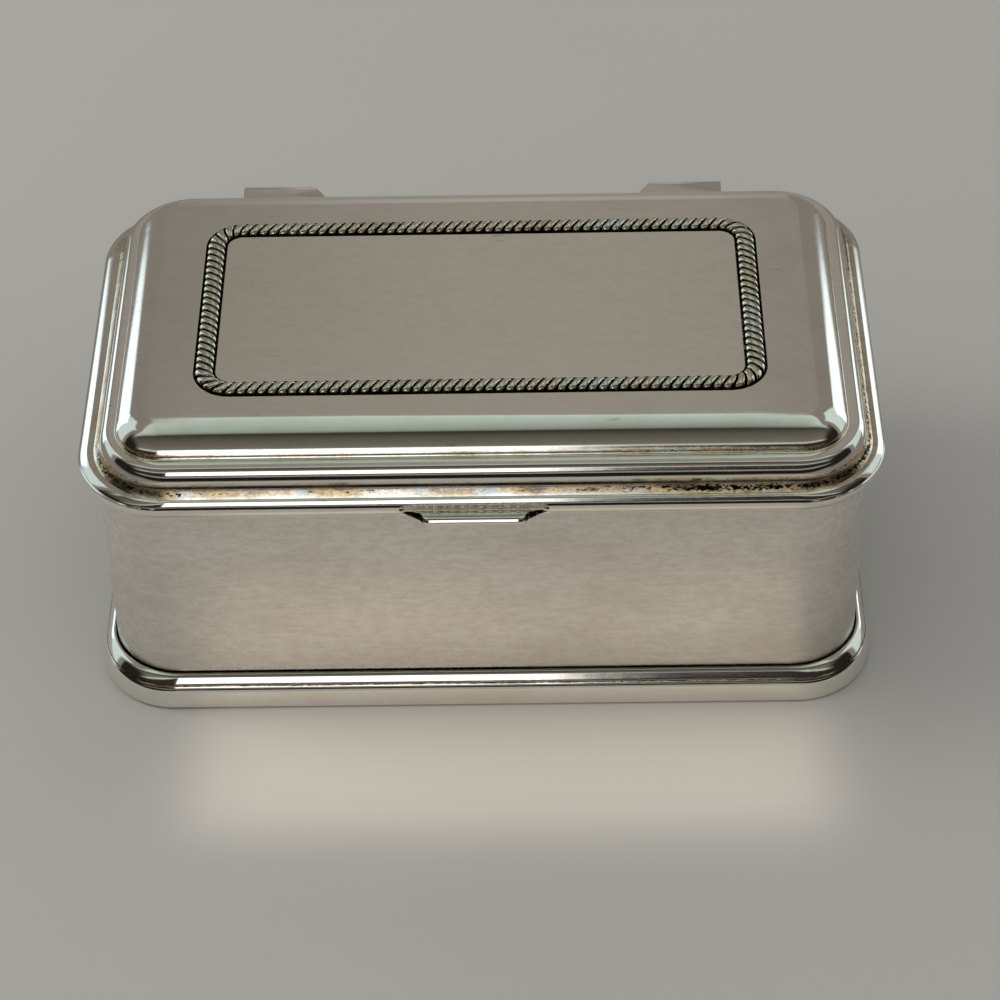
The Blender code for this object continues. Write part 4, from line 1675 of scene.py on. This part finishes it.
@dataclass
class Hinges:
    """The two hinges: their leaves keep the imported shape, with eased edges, and turned pins."""

    silver: bpy.types.Material
    steel: bpy.types.Material
    ease: float = 0.12 * MM
    hood: float = 1.0 * MM
    lift: float = 0.8 * MM

    def eased(self, node: str) -> bpy.types.Object:
        """Copy of a packed leaf with its triangles merged and its edges bevelled.

        The hood of a lid leaf, which is its uppermost part, is raised.

        Args:
            node: its name.

        Returns:
            The leaf.
        """
        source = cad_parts[node]
        mesh = source.data.copy()
        mesh.name = node + "_eased"
        work = bmesh.new()
        work.from_mesh(mesh)
        bmesh.ops.remove_doubles(work, verts=work.verts, dist=1e-6)
        bmesh.ops.recalc_face_normals(work, faces=work.faces)
        if node.endswith("_lid_leaf"):
            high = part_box(node)[1].z
            for vert in work.verts:
                vert.co.z += self.lift * (vert.co.z > high - self.hood)
        work.to_mesh(mesh)
        work.free()
        obj = linked(node + "_eased", mesh)
        bevel = obj.modifiers.new("eased edges", "BEVEL")
        bevel.width = self.ease
        bevel.segments = 2
        bevel.limit_method = "ANGLE"
        bevel.angle_limit = math.radians(40.0)
        mesh.shade_smooth()
        mesh.set_sharp_from_angle(angle=math.radians(32.0))
        return obj

    def make_pin(self, node: str) -> bpy.types.Object:
        """Turned pin: a round bar along X whose ends are domed by a quarter circle.

        Args:
            node: CAD node that it stands for.

        Returns:
            The pin.
        """
        low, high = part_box(node)
        center = (low + high) / 2
        radius = (high.z - low.z) / 2
        dome = radius * 0.7
        turn = np.linspace(0.06, math.pi / 2, 8)
        left_radius = radius * np.sin(turn) ** 0.8
        left_x = low.x + dome * (1 - np.cos(turn))
        x = np.concatenate((left_x, high.x + low.x - left_x[::-1]))
        size = np.concatenate((left_radius, left_radius[::-1]))
        around = np.linspace(0, 2 * math.pi, 33)[:-1]
        y = center.y + size[:, None] * np.cos(around)
        z = center.z + size[:, None] * np.sin(around)
        points = np.stack((np.broadcast_to(x[:, None], y.shape), y, z), -1)
        return solid(node + "_turned", points, False, 40.0)

    def build(self) -> None:
        """Make and dress both hinges."""
        for side in ("left_hinge", "right_hinge"):
            for leaf, body in (("_lid_leaf", Body.LID), ("_body_leaf", Body.BOX)):
                node = side + leaf
                enlist(self.eased(node), body, self.silver, (node,))
            pin = side + "_pin"
            enlist(self.make_pin(pin), Body.BOX, self.steel, (pin,))


def main() -> None:
    """Build the camera, the studio and the box."""
    logging.basicConfig(level=logging.INFO, format="%(message)s")
    Viewpoint().build()
    Studio().build()
    bpy.context.scene.view_settings.view_transform = "Standard"
    silver = PolishedSilver().build()
    dull = RubbedSilver().build()
    velvet = PileCloth(
        name="blue_velvet",
        deep=(0.006, 0.010, 0.055),
        light=(0.018, 0.032, 0.15),
        sheen=0.8,
        sheen_tint=(0.35, 0.45, 1.0),
        pile=6.0e-5,
        pile_scale=2600.0,
    ).build()
    felt = PileCloth(
        name="dark_felt",
        deep=(0.008, 0.012, 0.03),
        light=(0.02, 0.03, 0.06),
        sheen=0.3,
        sheen_tint=(0.6, 0.65, 0.8),
        pile=9.0e-5,
        pile_scale=1500.0,
    ).build()
    worn = PolishedSilver("worn_silver", (0.73, 0.72, 0.66), 0.09).build()
    Lid(silver, dull, worn, velvet).build()
    ThumbTab(silver, dull).build()
    BoxBody(silver, dull, felt).build()
    Linings(velvet).build()
    Hinges(silver, DrawnSteel().build()).build()


if __name__ == "__main__":
    main()
